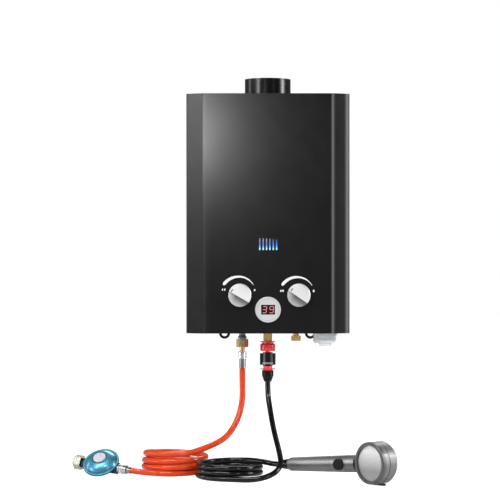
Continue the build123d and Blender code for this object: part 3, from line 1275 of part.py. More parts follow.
# Metal ends of the gas hose: stem, collar and ferrule at the heater, sleeve at the regulator.
SLEEVE_R = 6.2
SLEEVE_END = 60.0
with BuildPart() as gas_hose_ends:
    turned(upright(GAS_IN_X), [
        (GAS_BORE / 2, STEM_HEAD_TOP),
        (STEM_HEAD_D / 2, STEM_HEAD_TOP),
        (STEM_HEAD_D / 2, STEM_HEAD_LOW),
        (GAS_STEM_D / 2, STEM_HEAD_LOW),
        (GAS_STEM_D / 2, GAS_COLLAR_TOP),
        (GAS_COLLAR_D / 2 - 1.0, GAS_COLLAR_TOP),
        (GAS_COLLAR_D / 2, GAS_COLLAR_TOP - 1.0),
        (GAS_COLLAR_D / 2, GAS_COLLAR_LOW + 1.0),
        (GAS_COLLAR_D / 2 - 1.0, GAS_COLLAR_LOW),
        (GAS_FERRULE_D / 2, GAS_COLLAR_LOW),
        (GAS_FERRULE_D / 2, GAS_HOSE_TOP),
        (GAS_BORE / 2, GAS_HOSE_TOP),
    ])
    prism(reg_cross(OUTLET_FACE + OUTLET_NUT_L), SLEEVE_R, 1, SLEEVE_END - OUTLET_FACE - OUTLET_NUT_L)
save("gas_hose_ends", gas_hose_ends)

# ================================================================ hand shower
SHOWER_START = Vector(26.0, -168.0, -454.5)             # hose end of the shower's nut
SHOWER_ALONG = Vector(0.857, -0.508, 0.059).normalized()
SHOWER_FRONT = Vector(SHOWER_ALONG.Y, -SHOWER_ALONG.X, 0).normalized()      # side with the button
FACE_DIR = Vector(-0.77, -0.64, 0).normalized()
NUT_L = 13.5
NUT_START_R = 7.8
NUT_END_R = 9.7
HANDLE_END = 152.0
HANDLE_START_R = 12.1
HANDLE_END_R = 15.3
HANDLE_BORE = 6.0
SEAM_PLACES = (97.0, 102.5, 135.5)
BUTTON_ALONG = 122.6
SHOWER_BUTTON_R = 10.4
BUTTON_TOP = 17.4           # from the handle's axis
BUTTON_LOW = 10.2
BUTTON_TRAVEL = 1.5
HEAD_ALONG = 206.6          # foot of the head's middle on the handle's axis
HEAD_FORWARD = 18.0         # head's middle in front of that axis
HEAD_RISE = 2.4             # and above it
NECK_END = 168.0
HEAD_R = 37.0
HEAD_BACK = 18.0            # back and front of the drum, from its middle
HEAD_FRONT = 19.5
SEAM_AT = 3.0               # seam in front of the middle
HEAD_WALL = 2.5
RING_WALL = 5.4
PLATE_RECESS = 4.2
NECK_R = 7.5

shower_profile = Plane(origin=SHOWER_START, x_dir=SHOWER_FRONT, z_dir=SHOWER_FRONT.cross(SHOWER_ALONG))


def shower_cross(along):
    """Plane square to the handle, its distance from the hose end of the nut."""
    return Plane(origin=SHOWER_START + SHOWER_ALONG * along, x_dir=SHOWER_FRONT, z_dir=SHOWER_ALONG)


# Swivel nut that holds the hose to the handle.
with BuildPart() as shower_nut:
    turned(shower_profile, [
        (0, 0),
        (NUT_START_R, 0),
        (NUT_END_R, NUT_L),
        (0, NUT_L),
    ])
save("shower_nut", shower_nut)

# Handle: a slim taper with seam grooves, a water bore and a pocket for the button.
with BuildPart() as shower_handle:
    turned(shower_profile, [
        (HANDLE_BORE, NUT_L + FIT),
        (NUT_END_R, NUT_L + FIT),
        (HANDLE_START_R, NUT_L + 5.0),
        (HANDLE_END_R, SEAM_PLACES[-1]),
        (HANDLE_END_R, HANDLE_END),
        (HANDLE_BORE, HANDLE_END),
    ])
    for seam in SEAM_PLACES:
        turned(shower_profile, [
            (HANDLE_END_R - 1.6, seam),
            (HANDLE_END_R + 1.0, seam),
            (HANDLE_END_R + 1.0, seam + 0.7),
            (HANDLE_END_R - 1.6, seam + 0.7),
        ], mode=Mode.SUBTRACT)
    button_plane = Plane(
        origin=SHOWER_START + SHOWER_ALONG * BUTTON_ALONG,
        x_dir=SHOWER_ALONG,
        z_dir=SHOWER_FRONT,
    )
    prism(button_plane.offset(BUTTON_LOW - BUTTON_TRAVEL - 0.5), SHOWER_BUTTON_R + FIT, 1, HANDLE_END_R,
          Mode.SUBTRACT)
save("shower_handle", shower_handle)

with BuildPart() as shower_button:
    prism(button_plane.offset(BUTTON_LOW), SHOWER_BUTTON_R, 1, BUTTON_TOP - BUTTON_LOW)
    fillet(shower_button.faces().sort_by(Axis((0, 0, 0), SHOWER_FRONT))[-1].edges(), 1.2)
save("shower_button", shower_button)

# Head: a drum turned a little towards the user, in a rear shell and a mode ring.
head_centre = (SHOWER_START + SHOWER_ALONG * HEAD_ALONG + FACE_DIR * HEAD_FORWARD
               + Vector(0, 0, HEAD_RISE))
head_profile = Plane(origin=head_centre, x_dir=(0, 0, 1), z_dir=Vector(0, 0, 1).cross(FACE_DIR))
with BuildPart() as shower_head:
    turned(head_profile, [
        (0, -HEAD_BACK),
        (HEAD_R - 9.0, -HEAD_BACK),
        (HEAD_R - 2.4, -HEAD_BACK + 1.4),
        (HEAD_R, -HEAD_BACK + 5.0),
        (HEAD_R, SEAM_AT),
        (0, SEAM_AT),
    ])
    prism(shower_cross(HANDLE_END), NECK_R, 1, NECK_END - HANDLE_END)
    turned(head_profile, [
        (0, -HEAD_BACK + HEAD_WALL),
        (HEAD_R - 10.0, -HEAD_BACK + HEAD_WALL),
        (HEAD_R - HEAD_WALL, -HEAD_BACK + 6.6),
        (HEAD_R - HEAD_WALL, SEAM_AT),
        (0, SEAM_AT),
    ], mode=Mode.SUBTRACT)
    prism(shower_cross(HANDLE_END), NECK_R - 2.0, 1, NECK_END - HANDLE_END, Mode.SUBTRACT)
save("shower_head", shower_head)

# Mode ring: front of the drum, with a thumb lever that reaches back under the shell.
LEVER_W = 12.0
LEVER_GAP = 0.4
LEVER_THIN = 0.8
LEVER_THICK = 4.2
LEVER_BACK = -16.0
LEVER_FRONT = 10.0
with BuildPart() as spray_ring:
    turned(head_profile, [
        (HEAD_R - RING_WALL, SEAM_AT + FIT),
        (HEAD_R, SEAM_AT + FIT),
        (HEAD_R, HEAD_FRONT - 1.0),
        (HEAD_R - 1.0, HEAD_FRONT),
        (HEAD_R - RING_WALL, HEAD_FRONT),
    ])
    lever_plane = Plane(origin=head_centre, x_dir=(0, 0, -1), z_dir=Vector(0, 0, -1).cross(FACE_DIR))
    with BuildSketch(lever_plane.offset(-LEVER_W / 2)):
        with BuildLine():
            Polyline(
                (HEAD_R - 0.5, LEVER_FRONT),
                (HEAD_R + LEVER_GAP + LEVER_THIN, LEVER_FRONT - 1.0),
                (HEAD_R + LEVER_GAP + LEVER_THICK, LEVER_BACK + 2.0),
                (HEAD_R + LEVER_GAP + LEVER_THICK, LEVER_BACK),
                (HEAD_R + LEVER_GAP, LEVER_BACK),
                (HEAD_R + LEVER_GAP, SEAM_AT + FIT),
                (HEAD_R - 0.5, SEAM_AT + FIT),
                close=True,
            )
        make_face()
    extrude(amount=LEVER_W)
save("spray_ring", spray_ring)

# Spray plate: pale disc set back in the ring, on a stepped seat in the shell.
with BuildPart() as spray_plate:
    turned(head_profile, [
        (0, SEAM_AT - 6.0),
        (HEAD_R - HEAD_WALL - FIT, SEAM_AT - 6.0),
        (HEAD_R - HEAD_WALL - FIT, SEAM_AT - 1.0),
        (HEAD_R - RING_WALL - FIT, SEAM_AT - 1.0),
        (HEAD_R - RING_WALL - FIT, HEAD_FRONT - PLATE_RECESS),
        (0, HEAD_FRONT - PLATE_RECESS + 0.8),
    ])
save("spray_plate", spray_plate)

# ================================================================ hoses
GAS_HOSE_D = 11.0
SHOWER_HOSE_D = 10.0
GAS_COIL = (-171.0, -75.0)          # middle of each coil, seen from above
SHOWER_COIL = (-70.5, -160.0)
COIL_OUT = 64.0                     # outer and inner radius of the space the turns fill
COIL_IN = 50.5
GAS_COIL_TOP = -433.5
SHOWER_COIL_TOP = -447.0
GAS_COIL_END = -439.5               # height of the hose's middle where it leaves a coil's top
SHOWER_COIL_END = -452.5
TURN_MEAN = 57.5                    # radius of a turn's middle where the hose joins the coil
SHOWER_LEAVE = 51.0                 # angles at which the shower hose leaves and joins its coil
SHOWER_JOIN = -110.0
CUT_SIDE = 7.0                      # room beside and over a run where it joins a turn
CUT_OVER = 3.5

gas_floor = FLOOR_Z + GAS_HOSE_D / 2
shower_floor = FLOOR_Z + SHOWER_HOSE_D / 2
gas_coil_front = GAS_COIL[1] - TURN_MEAN
gas_drop = [
    (GAS_IN_X, CORE_Y, GAS_HOSE_TOP),
    (GAS_IN_X, CORE_Y, -312.0),
    (-46.5, -64.0, -342.0),
    (-51.5, -69.0, -369.5),
    (-62.0, -79.0, -394.0),
    (-78.0, -94.0, -414.0),
    (-100.0, -111.0, -424.5),
    (-122.0, -125.5, -432.0),
    (-147.0, gas_coil_front, GAS_COIL_END),
    (GAS_COIL[0], gas_coil_front, GAS_COIL_END),
]
gas_tail = [
    (GAS_COIL[0], gas_coil_front, gas_floor),
    (-191.0, gas_coil_front, gas_floor),
    tuple(reg_axis + REG_ALONG * (SLEEVE_END + 22.0)),
    tuple(reg_axis + REG_ALONG * SLEEVE_END),
]


def on_coil(centre, angle, height):
    """Point of a coil's middle turn at an angle from +X, seen from above."""
    turn = radians(angle)
    return (centre[0] + TURN_MEAN * cos(turn), centre[1] + TURN_MEAN * sin(turn), height)


leave_point = on_coil(SHOWER_COIL, SHOWER_LEAVE, SHOWER_COIL_END)
leave = radians(SHOWER_LEAVE)
join_point = on_coil(SHOWER_COIL, SHOWER_JOIN, shower_floor)
join = radians(SHOWER_JOIN)
shower_drop = [
    (HOT_X, CORE_Y, SHOWER_HOSE_TOP),
    (HOT_X, CORE_Y, -336.0),
    (4.0, -80.0, -361.0),
    (8.0, -103.0, -385.0),
    (12.5, -131.0, -405.0),
    (17.0, -158.0, -421.0),
    (21.0, -184.0, -437.0),
    (23.0, -207.0, -451.0),
    (13.0, -226.0, -464.0),
    (-9.0, -236.0, -472.5),
    (-34.0, -234.0, shower_floor),
    (join_point[0] - 30.0 * sin(join), join_point[1] + 30.0 * cos(join), shower_floor),
    join_point,
]
shower_tail = [
    leave_point,
    (leave_point[0] + 16.0 * sin(leave), leave_point[1] - 16.0 * cos(leave), SHOWER_COIL_END),
    (-1.0, -143.0, -454.0),
    tuple(SHOWER_START - SHOWER_ALONG * 18.0),
    tuple(SHOWER_START),
]


def corner_radii(points):
    """Radius of the arc at each corner: 0.45 of the shorter run over the tangent of half the turn."""
    radii = []
    for before, here, after in zip(points, points[1:], points[2:]):
        run_in = Vector(*here) - Vector(*before)
        run_out = Vector(*after) - Vector(*here)
        half_turn = radians(run_in.get_angle(run_out)) / 2
        radii.append(0.45 * min(run_in.length, run_out.length) / tan(half_turn))
    return radii


def hose_run(points, diameter):
    """Solid tube of straight runs and tangent arcs through a hose's points."""
    radii = corner_radii(points)
    with BuildLine():
        route = FilletPolyline(*points, radius=radii)
    with BuildSketch(Plane(origin=route @ 0, z_dir=route % 0)) as section:
        Circle(diameter / 2)
    tube = sweep(section.sketch, path=route)
    share = tube.volume / (pi * diameter ** 2 / 4 * route.length)
    print("hose run", round(route.length), "mm, volume share", round(share, 4),
          "tightest radius", round(min(radii)), "all", [round(radius) for radius in radii])


def coil(centre, top, hose_d, exits):
    """Ring of a coil's outer shape, cut back where a hose run joins a turn."""
    ring_plane = Plane(origin=(*centre, FLOOR_Z), z_dir=(0, 0, 1))
    with BuildSketch(ring_plane) as ring:
        Circle(COIL_OUT)
        Circle(COIL_IN, mode=Mode.SUBTRACT)
    extrude(ring.sketch, amount=top - FLOOR_Z)
    cut_in = TURN_MEAN - hose_d / 2 - CUT_SIDE
    for angle, side, middle in exits:
        turn = radians(angle)
        cut_plane = Plane(
            origin=(*centre, middle - hose_d / 2 - CUT_OVER),
            x_dir=(cos(turn), sin(turn), 0),
            z_dir=(0, 0, 1),
        )
        with BuildSketch(cut_plane) as cut:
            with Locations((cut_in + COIL_OUT / 2, side * COIL_OUT / 2)):
                Rectangle(COIL_OUT, COIL_OUT)
        extrude(cut.sketch, amount=hose_d + 2 * CUT_OVER, mode=Mode.SUBTRACT)


with BuildPart() as gas_hose:
    hose_run(gas_drop, GAS_HOSE_D)
    hose_run(gas_tail, GAS_HOSE_D)
save("gas_hose", gas_hose)

with BuildPart() as shower_hose:
    hose_run(shower_drop, SHOWER_HOSE_D)
    hose_run(shower_tail, SHOWER_HOSE_D)
save("shower_hose", shower_hose)

with BuildPart() as gas_hose_coil:
    coil(GAS_COIL, GAS_COIL_TOP, GAS_HOSE_D, [(-90, 1, GAS_COIL_END), (-90, -1, gas_floor)])
save("gas_hose_coil", gas_hose_coil)

with BuildPart() as shower_hose_coil:
    coil(SHOWER_COIL, SHOWER_COIL_TOP, SHOWER_HOSE_D,
         [(SHOWER_LEAVE, -1, SHOWER_COIL_END), (SHOWER_JOIN, 1, shower_floor)])
save("shower_hose_coil", shower_hose_coil)
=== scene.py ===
"""A portable propane water heater on a pale floor, with its gas hose, regulator and hand shower."""

import json
from math import cos, pi, radians, sin

import bpy
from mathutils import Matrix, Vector


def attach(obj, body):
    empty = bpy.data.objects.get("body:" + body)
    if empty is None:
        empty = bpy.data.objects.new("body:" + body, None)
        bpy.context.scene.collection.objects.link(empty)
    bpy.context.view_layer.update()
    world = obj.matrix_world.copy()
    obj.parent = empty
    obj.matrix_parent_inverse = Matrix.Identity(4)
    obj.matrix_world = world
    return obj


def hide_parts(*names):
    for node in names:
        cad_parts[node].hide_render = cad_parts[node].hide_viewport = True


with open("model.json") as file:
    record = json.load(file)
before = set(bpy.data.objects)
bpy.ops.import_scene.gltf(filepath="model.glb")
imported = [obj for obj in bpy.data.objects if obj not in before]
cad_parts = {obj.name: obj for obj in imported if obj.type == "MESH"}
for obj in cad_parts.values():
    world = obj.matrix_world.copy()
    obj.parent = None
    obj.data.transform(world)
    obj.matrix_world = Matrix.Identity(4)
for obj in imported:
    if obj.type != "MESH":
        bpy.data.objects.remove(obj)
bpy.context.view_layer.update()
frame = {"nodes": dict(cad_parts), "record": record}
nodes = frame["nodes"]
scene = bpy.context.scene

MM = 0.001

# Places and directions of the CAD shapes that finishes and new pieces follow.
FLOOR_Z = -481 * MM
FRONT_Y = -125 * MM                                          # front face of the casing
GAS_KNOB = (-51.5 * MM, -149.5 * MM)                         # its middle, across and up
WATER_KNOB = (56.3 * MM, -149.5 * MM)
DISPLAY = (0.0, -176.1 * MM)
WINDOW_Y = FRONT_Y - 3.0 * MM                                # front of the display's window
FLUE = (0.0, -62 * MM)                                       # axis of its collar, across and deep
HEAD_PLACE = (189.569 * MM, -284.669 * MM, -439.886 * MM)    # middle of the shower's head
FACE_DIR = (-0.769039, -0.639201, 0.0)                       # where its spray face looks
HANDLE_PLACE = (131.279 * MM, -230.406 * MM, -447.252 * MM)  # on the handle's axis, at its button
HANDLE_UP = (-0.0508, 0.0301, 0.9965)
REG_PLACE = (-307.0 * MM, -105.0 * MM, -458.2 * MM)          # middle of the regulator's rim
REG_UP = (-0.1899, -0.60966, 0.76958)                        # towards its bonnet

# Camera, level and square to the casing.
CAMERA_PLACE = (-33 * MM, -3.925, -67 * MM)
CAMERA_LENS = 149.5
CAMERA_SENSOR = 36
CAMERA_REACH = 60

# Hoses, and the middles of their coils, across and deep.
GAS_HOSE_D = 11 * MM
SHOWER_HOSE_D = 10 * MM
GAS_COIL = (-171 * MM, -75 * MM)
SHOWER_COIL = (-70.5 * MM, -160 * MM)

# Sockets of Blender's colour mix node that share their names with others on it.
MIX_FIRST, MIX_SECOND, MIX_RESULT = 6, 7, 2


# ---------------------------------------------------------------- finishes
def new_finish(name, colour, roughness, metallic=0.0):
    """A finish with a Principled shader and the piece's own coordinates."""
    finish = bpy.data.materials.new(name)
    finish.use_nodes = True
    tree = finish.node_tree
    shader = tree.nodes["Principled BSDF"]
    shader.inputs["Base Color"].default_value = (*colour, 1)
    shader.inputs["Roughness"].default_value = roughness
    shader.inputs["Metallic"].default_value = metallic
    return finish, tree, shader, tree.nodes.new("ShaderNodeTexCoord").outputs["Object"]


def feed(tree, value, socket):
    """Gives an input its value: the output of another node, a colour, a vector or a number."""
    if isinstance(value, bpy.types.NodeSocket):
        tree.links.new(value, socket)
    elif socket.type == "RGBA":
        socket.default_value = (*value, 1)
    else:
        socket.default_value = value


def paint(tree, shader, tone):
    """Gives a finish its colour, from another node."""
    tree.links.new(tone, shader.inputs["Base Color"])


def vary_gloss(tree, shader, source, low, high, start=0.3, end=0.7):
    """Lets the roughness run from low to high with a value."""
    tree.links.new(spread(tree, source, low, high, start, end), shader.inputs["Roughness"])


def darker(colour, share):
    """A colour that is a share darker."""
    return tuple(c * (1 - share) for c in colour)


def lighter(colour, share):
    """A colour that is a share lighter."""
    return tuple(min(1.0, c * (1 + share)) for c in colour)


def noise(tree, place, size, detail=3.0, stretch=(1, 1, 1)):
    """Noise with grains of about that size in metres, longer where stretch is under 1."""
    mapping = tree.nodes.new("ShaderNodeMapping")
    mapping.inputs["Scale"].default_value = stretch
    tree.links.new(place, mapping.inputs["Vector"])
    texture = tree.nodes.new("ShaderNodeTexNoise")
    texture.inputs["Scale"].default_value = 1 / size
    texture.inputs["Detail"].default_value = detail
    tree.links.new(mapping.outputs["Vector"], texture.inputs["Vector"])
    return texture.outputs["Fac"]


def ramp(tree, source, stops):
    """Colours or greys spread along a value; stops are (place, colour) or (place, grey)."""
    node = tree.nodes.new("ShaderNodeValToRGB")
    elements = node.color_ramp.elements
    while len(elements) < len(stops):
        elements.new(0.5)
    for element, (place, value) in zip(elements, stops):
        element.position = place
        element.color = (*value, 1) if isinstance(value, tuple) else (value, value, value, 1)
    tree.links.new(source, node.inputs["Fac"])
    return node.outputs["Color"]


def spread(tree, source, low, high, start=0.3, end=0.7):
    """A value turned into a range, such as a roughness that varies."""
    node = tree.nodes.new("ShaderNodeMapRange")
    node.inputs["From Min"].default_value = start
    node.inputs["From Max"].default_value = end
    node.inputs["To Min"].default_value = low
    node.inputs["To Max"].default_value = high
    tree.links.new(source, node.inputs["Value"])
    return node.outputs["Result"]


def emboss(tree, shader, height, depth, strength=1.0):
    """Bumps the surface by a height value, depth metres deep."""
    node = tree.nodes.new("ShaderNodeBump")
    node.inputs["Strength"].default_value = strength
    node.inputs["Distance"].default_value = depth
    tree.links.new(height, node.inputs["Height"])
    tree.links.new(node.outputs["Normal"], shader.inputs["Normal"])


def mixed(tree, share, first, second, blend="MIX"):
    """Two colours mixed by a value; each is a colour or a socket."""
    node = tree.nodes.new("ShaderNodeMix")
    node.data_type = "RGBA"
    node.blend_type = blend
    feed(tree, share, node.inputs["Factor"])
    feed(tree, first, node.inputs[MIX_FIRST])
    feed(tree, second, node.inputs[MIX_SECOND])
    return node.outputs[MIX_RESULT]


def added(tree, first, second):
    """Two colours added."""
    return mixed(tree, 1.0, first, second, "ADD")


def multiplied(tree, first, second):
    """Two colours multiplied."""
    return mixed(tree, 1.0, first, second, "MULTIPLY")


def vector_math(tree, operation, first, second=None):
    """A vector operation on one or two inputs; each is a vector or a socket."""
    node = tree.nodes.new("ShaderNodeVectorMath")
    node.operation = operation
    feed(tree, first, node.inputs[0])
    if second is not None:
        feed(tree, second, node.inputs[1])
    return node.outputs["Value" if operation in ("DOT_PRODUCT", "LENGTH") else "Vector"]


def part_of(tree, place, axis):
    """One coordinate of a place or a direction."""
    split = tree.nodes.new("ShaderNodeSeparateXYZ")
    tree.links.new(place, split.inputs["Vector"])
    return split.outputs[axis]


def along_of(tree, place, origin, direction):
    """How far a place lies from an origin along a direction, in metres."""
    offset = vector_math(tree, "SUBTRACT", place, origin)
    return vector_math(tree, "DOT_PRODUCT", offset, direction)


def axis_distance(tree, place, origin, direction):
    """How far a place lies from the axis through an origin along a direction, in metres."""
    offset = vector_math(tree, "SUBTRACT", place, origin)
    return vector_math(tree, "LENGTH", vector_math(tree, "CROSS_PRODUCT", offset, direction))


def bands(tree, value, stops):
    """Colours or greys along a length; stops are (millimetres, colour or grey), in rising order."""
    low, high = stops[0][0], stops[-1][0]
    share = spread(tree, value, 0.0, 1.0, low * MM, high * MM)
    return ramp(tree, share, [((at - low) / (high - low), tone) for at, tone in stops])


def edges_of(tree, width):
    """1 along sharp edges and 0 on flat ground, found by rounding the normals."""
    rounded = tree.nodes.new("ShaderNodeBevel")
    rounded.samples = 4
    rounded.inputs["Radius"].default_value = width
    flat = tree.nodes.new("ShaderNodeNewGeometry")
    match = vector_math(tree, "DOT_PRODUCT", rounded.outputs["Normal"], flat.outputs["Normal"])
    return spread(tree, match, 1.0, 0.0, 0.82, 0.99)


def moulded(name, colour, roughness, depth=0.00002, shade=0.12):
    """Moulded plastic or rubber: fine grain, soft mottling and slightly varied gloss."""
    finish, tree, shader, place = new_finish(name, colour, roughness)
    patches = noise(tree, place, 0.012)
    paint(tree, shader, mixed(tree, patches, darker(colour, shade), lighter(colour, shade)))
    vary_gloss(tree, shader, patches, roughness * 0.85, roughness * 1.15)
    emboss(tree, shader, noise(tree, place, 0.0004, 2.0), depth)
    return finish


def metal(name, colour, roughness, grain=0.0006, stretch=(1, 1, 1), shade=0.15, metallic=1.0):
    """Bare or plated metal: brushed or turned marks, with stains that change tint and gloss."""
    finish, tree, shader, place = new_finish(name, colour, roughness, metallic)
    stains = noise(tree, place, 0.009, 4.0)
    marks = noise(tree, place, grain, 2.0, stretch)
    paint(tree, shader, mixed(tree, stains, darker(colour, shade), lighter(colour, shade)))
    vary_gloss(tree, shader, marks, roughness * 0.75, roughness * 1.3)
    emboss(tree, shader, marks, 0.00001)
    return finish


# Painted highlights on the black coat's front where light catches the cover's upright bends, by X in
# millimetres.
COVER_BEND_HIGHLIGHTS = [                 # light caught along the cover's upright bends, by X
    (-121.5, 0.0), (-117.5, 0.014), (-112.0, 0.003), (-104.0, 0.0),
    (115.6, 0.0), (117.4, 0.085), (120.0, 0.08), (121.8, 0.01), (126.0, 0.0),
    (140.0, 0.004), (143.2, 0.05), (144.6, 0.14), (146.4, 0.12), (148.4, 0.04), (150.0, 0.03),
]
COLLAR_SHEEN = [(-42.5, 0.3), (-15, 0.32), (-10, 0.04), (18, 0.04), (23, 0.32), (42.5, 0.3)]   # by X


def powder_coat(name, colour, roughness, edge_light):
    """Baked powder coat: faint orange peel, edges lightened where the coat is thin and as a painted
    highlight, and painted highlights along the cover's upright bends on its front.
    """
    finish, tree, shader, place = new_finish(name, colour, roughness)
    normal = tree.nodes.new("ShaderNodeTexCoord").outputs["Normal"]
    # lighter along sharp edges: thinner coat and painted highlight
    thin_and_lit_edges = mixed(tree, edges_of(tree, 0.8 * MM), colour, edge_light)
    # painted highlights along the upright bends, only where the coat faces the front
    bends = bands(tree, part_of(tree, place, "X"), COVER_BEND_HIGHLIGHTS)
    to_front = spread(tree, part_of(tree, normal, "Y"), 1.0, 0.0, -0.6, -0.3)
    paint(tree, shader, added(tree, thin_and_lit_edges, mixed(tree, to_front, (0.0, 0.0, 0.0), bends)))
    vary_gloss(tree, shader, noise(tree, place, 0.03), roughness * 0.94, roughness * 1.06)
    emboss(tree, shader, noise(tree, place, 0.0011, 2.0), 0.00004, 0.35)
    upward = part_of(tree, normal, "Z")
    tree.links.new(spread(tree, upward, 0.0, 0.3, -0.3, -0.08), shader.inputs["Specular IOR Level"])
    return finish


def round_coat(name, colour, roughness, centre):
    """The same coat on a round pipe about an upright axis, shaded as a true cylinder."""
    finish, tree, shader, place = new_finish(name, colour, roughness)
    outward = vector_math(tree, "SUBTRACT", place, (*centre, 0))
    radial = vector_math(tree, "NORMALIZE", vector_math(tree, "MULTIPLY", outward, (1, 1, 0)))
    surface = tree.nodes.new("ShaderNodeTexCoord").outputs["Normal"]
    facing = vector_math(tree, "DOT_PRODUCT", surface, radial)
    on_wall = spread(tree, facing, 0.0, 1.0, 0.85, 0.9)
    tree.links.new(mixed(tree, on_wall, surface, radial), shader.inputs["Normal"])
    vary_gloss(tree, shader, noise(tree, place, 0.03), roughness * 0.94, roughness * 1.06)
    sheen = bands(tree, part_of(tree, place, "X"), COLLAR_SHEEN)
    tree.links.new(sheen, shader.inputs["Specular IOR Level"])
    return finish


def zinc_sheet(name):
    """Galvanised sheet with its spangle of flat crystals."""
    finish, tree, shader, place = new_finish(name, (0.55, 0.56, 0.57), 0.4, 1.0)
    spangle = tree.nodes.new("ShaderNodeTexVoronoi")
    spangle.inputs["Scale"].default_value = 160
    tree.links.new(place, spangle.inputs["Vector"])
    crystals = tree.nodes.new("ShaderNodeSeparateColor")
    tree.links.new(spangle.outputs["Color"], crystals.inputs["Color"])
    paint(tree, shader, mixed(tree, crystals.outputs[0], (0.42, 0.43, 0.45), (0.66, 0.67, 0.68)))
    vary_gloss(tree, shader, crystals.outputs[1], 0.3, 0.5, 0, 1)
    return finish


def casting(name, colour, roughness):
    """Sand-cast or die-cast metal with a gritty skin and rubbed edges."""
    finish, tree, shader, place = new_finish(name, colour, roughness, 1.0)
    paint(tree, shader, mixed(tree, edges_of(tree, 0.7 * MM), colour, lighter(colour, 0.5)))
    skin = noise(tree, place, 0.0009, 4.0)
    vary_gloss(tree, shader, skin, roughness * 0.8, roughness * 1.2)
    emboss(tree, shader, skin, 0.00012, 0.5)
    return finish


# Painted highlights and painted shade on the regulator's paint, by the rise above its rim and by the
# distance from its axis: light lines along its rim and a lighter top, dark lines in the grooves by its cap
# and rim.
REG_SHADING_BY_RISE = [(-30, 0.85), (-3.4, 0.9), (-2.6, 1.7), (-1.6, 0.9), (-0.9, 0.25), (0.6, 0.3), (1.4, 1.0),
               (2.4, 1.9), (3.2, 1.0), (14, 1.0), (20, 1.25)]
REG_SHADING_BY_REACH = [(0, 1.0), (11.6, 0.3), (13.2, 0.35), (14.6, 1.15), (20, 1.1), (27.5, 0.85), (29.2, 0.3),
                (30.2, 0.45), (31.2, 1.9), (32.6, 2.0), (33.4, 0.6), (34, 0.4)]


def metallic_paint(name, colour, deep, roughness):
    """The regulator's metallic paint: fine flakes, thin and dark in places, under a clear coat, with painted
    highlights along its rim and painted shade in its grooves.
    """
    finish, tree, shader, place = new_finish(name, colour, roughness, 0.75)
    tone = mixed(tree, spread(tree, noise(tree, place, 0.01), 0, 1), deep, colour)
    # painted highlights and painted shade, by the rise above the rim and the distance from the axis
    rise = bands(tree, along_of(tree, place, REG_PLACE, REG_UP), REG_SHADING_BY_RISE)
    reach = bands(tree, axis_distance(tree, place, REG_PLACE, REG_UP), REG_SHADING_BY_REACH)
    paint(tree, shader, multiplied(tree, tone, multiplied(tree, rise, reach)))
    flakes = noise(tree, place, 0.00035, 1.0)
    vary_gloss(tree, shader, flakes, roughness * 0.7, roughness * 1.4)
    emboss(tree, shader, flakes, 0.00003, 0.4)
    shader.inputs["Coat Weight"].default_value = 0.5
    shader.inputs["Coat Roughness"].default_value = 0.15
    return finish


# How light a knob's paint is across its grip, at its middle and towards the grip's pointing end: painted
# shade, with the painted shadow of the grip just below it.
GRIP_SHADE_MIDDLE = [(-21, 0.4), (-17, 0.56), (-9, 0.6), (0, 0.64), (3.0, 0.62), (3.9, 0.12), (9.0, 0.15),
               (17.0, 0.34), (21.0, 0.4)]
GRIP_SHADE_END = [(-21, 0.55), (-15, 0.64), (3.0, 0.64), (3.9, 0.4), (17.0, 0.5), (21.0, 0.52)]


def grip_paint(name, centre, ridge_angle):
    """Silver paint on a knob, with the painted shadow and painted shading of its grip, which stands at
    ridge_angle degrees.
    """
    finish, tree, shader, place = new_finish(name, (0.76, 0.76, 0.77), 0.34, 0.2)
    origin = (centre[0], 0, centre[1])
    turn = radians(ridge_angle)
    across = along_of(tree, place, origin, (cos(turn + pi / 2), 0, sin(turn + pi / 2)))
    along = along_of(tree, place, origin, (cos(turn), 0, sin(turn)))
    to_end = spread(tree, along, 0.0, 1.0, 4 * MM, 17 * MM)
    # painted shade: the grip's painted shadow and shading across the knob
    paint(tree, shader, mixed(tree, to_end, bands(tree, across, GRIP_SHADE_MIDDLE), bands(tree, across, GRIP_SHADE_END)))
    flakes = noise(tree, place, 0.0005, 2.0)
    vary_gloss(tree, shader, flakes, 0.29, 0.41)
    emboss(tree, shader, flakes, 0.00001, 0.3)
    return finish


def hose_rubber(name, colour, deep, roughness):
    """Extruded hose with a glossy skin, faint scuffs and soft clouding."""
    finish, tree, shader, place = new_finish(name, colour, roughness)
    paint(tree, shader, mixed(tree, spread(tree, noise(tree, place, 0.02, 2.0), 0, 1), deep, colour))
    vary_gloss(tree, shader, noise(tree, place, 0.004, 4.0), roughness * 0.85, roughness * 1.25)
    emboss(tree, shader, noise(tree, place, 0.003, 1.0), 0.00002, 0.2)
    shader.inputs["Specular IOR Level"].default_value = 0.35
    return finish


def dark_sheet(name, colour, roughness):
    """Dark glossy sheet with faint haze."""
    finish, tree, shader, place = new_finish(name, colour, roughness)
    vary_gloss(tree, shader, noise(tree, place, 0.004, 4.0), roughness * 0.7, roughness * 1.5)
    return finish


def milky_plastic(name):
    """Thin unpigmented plastic that lets some light in."""
    finish, tree, shader, place = new_finish(name, (0.72, 0.75, 0.76), 0.32)
    paint(tree, shader, mixed(tree, noise(tree, place, 0.015), (0.62, 0.66, 0.68), (0.8, 0.82, 0.83)))
    emboss(tree, shader, noise(tree, place, 0.0007, 2.0), 0.00003, 0.4)
    shader.inputs["Subsurface Weight"].default_value = 0.25
    shader.inputs["Subsurface Radius"].default_value = (0.004, 0.004, 0.004)
    return finish


def board_finish(name):
    """Green circuit board with tracks."""
    finish, tree, shader, place = new_finish(name, (0.03, 0.16, 0.06), 0.35)
    tracks = tree.nodes.new("ShaderNodeTexBrick")
    tracks.inputs["Scale"].default_value = 220
    tracks.inputs["Color1"].default_value = (0.02, 0.13, 0.05, 1)
    tracks.inputs["Color2"].default_value = (0.03, 0.17, 0.07, 1)
    tracks.inputs["Mortar"].default_value = (0.3, 0.28, 0.12, 1)
    tree.links.new(place, tracks.inputs["Vector"])
    paint(tree, shader, tracks.outputs["Color"])
    return finish
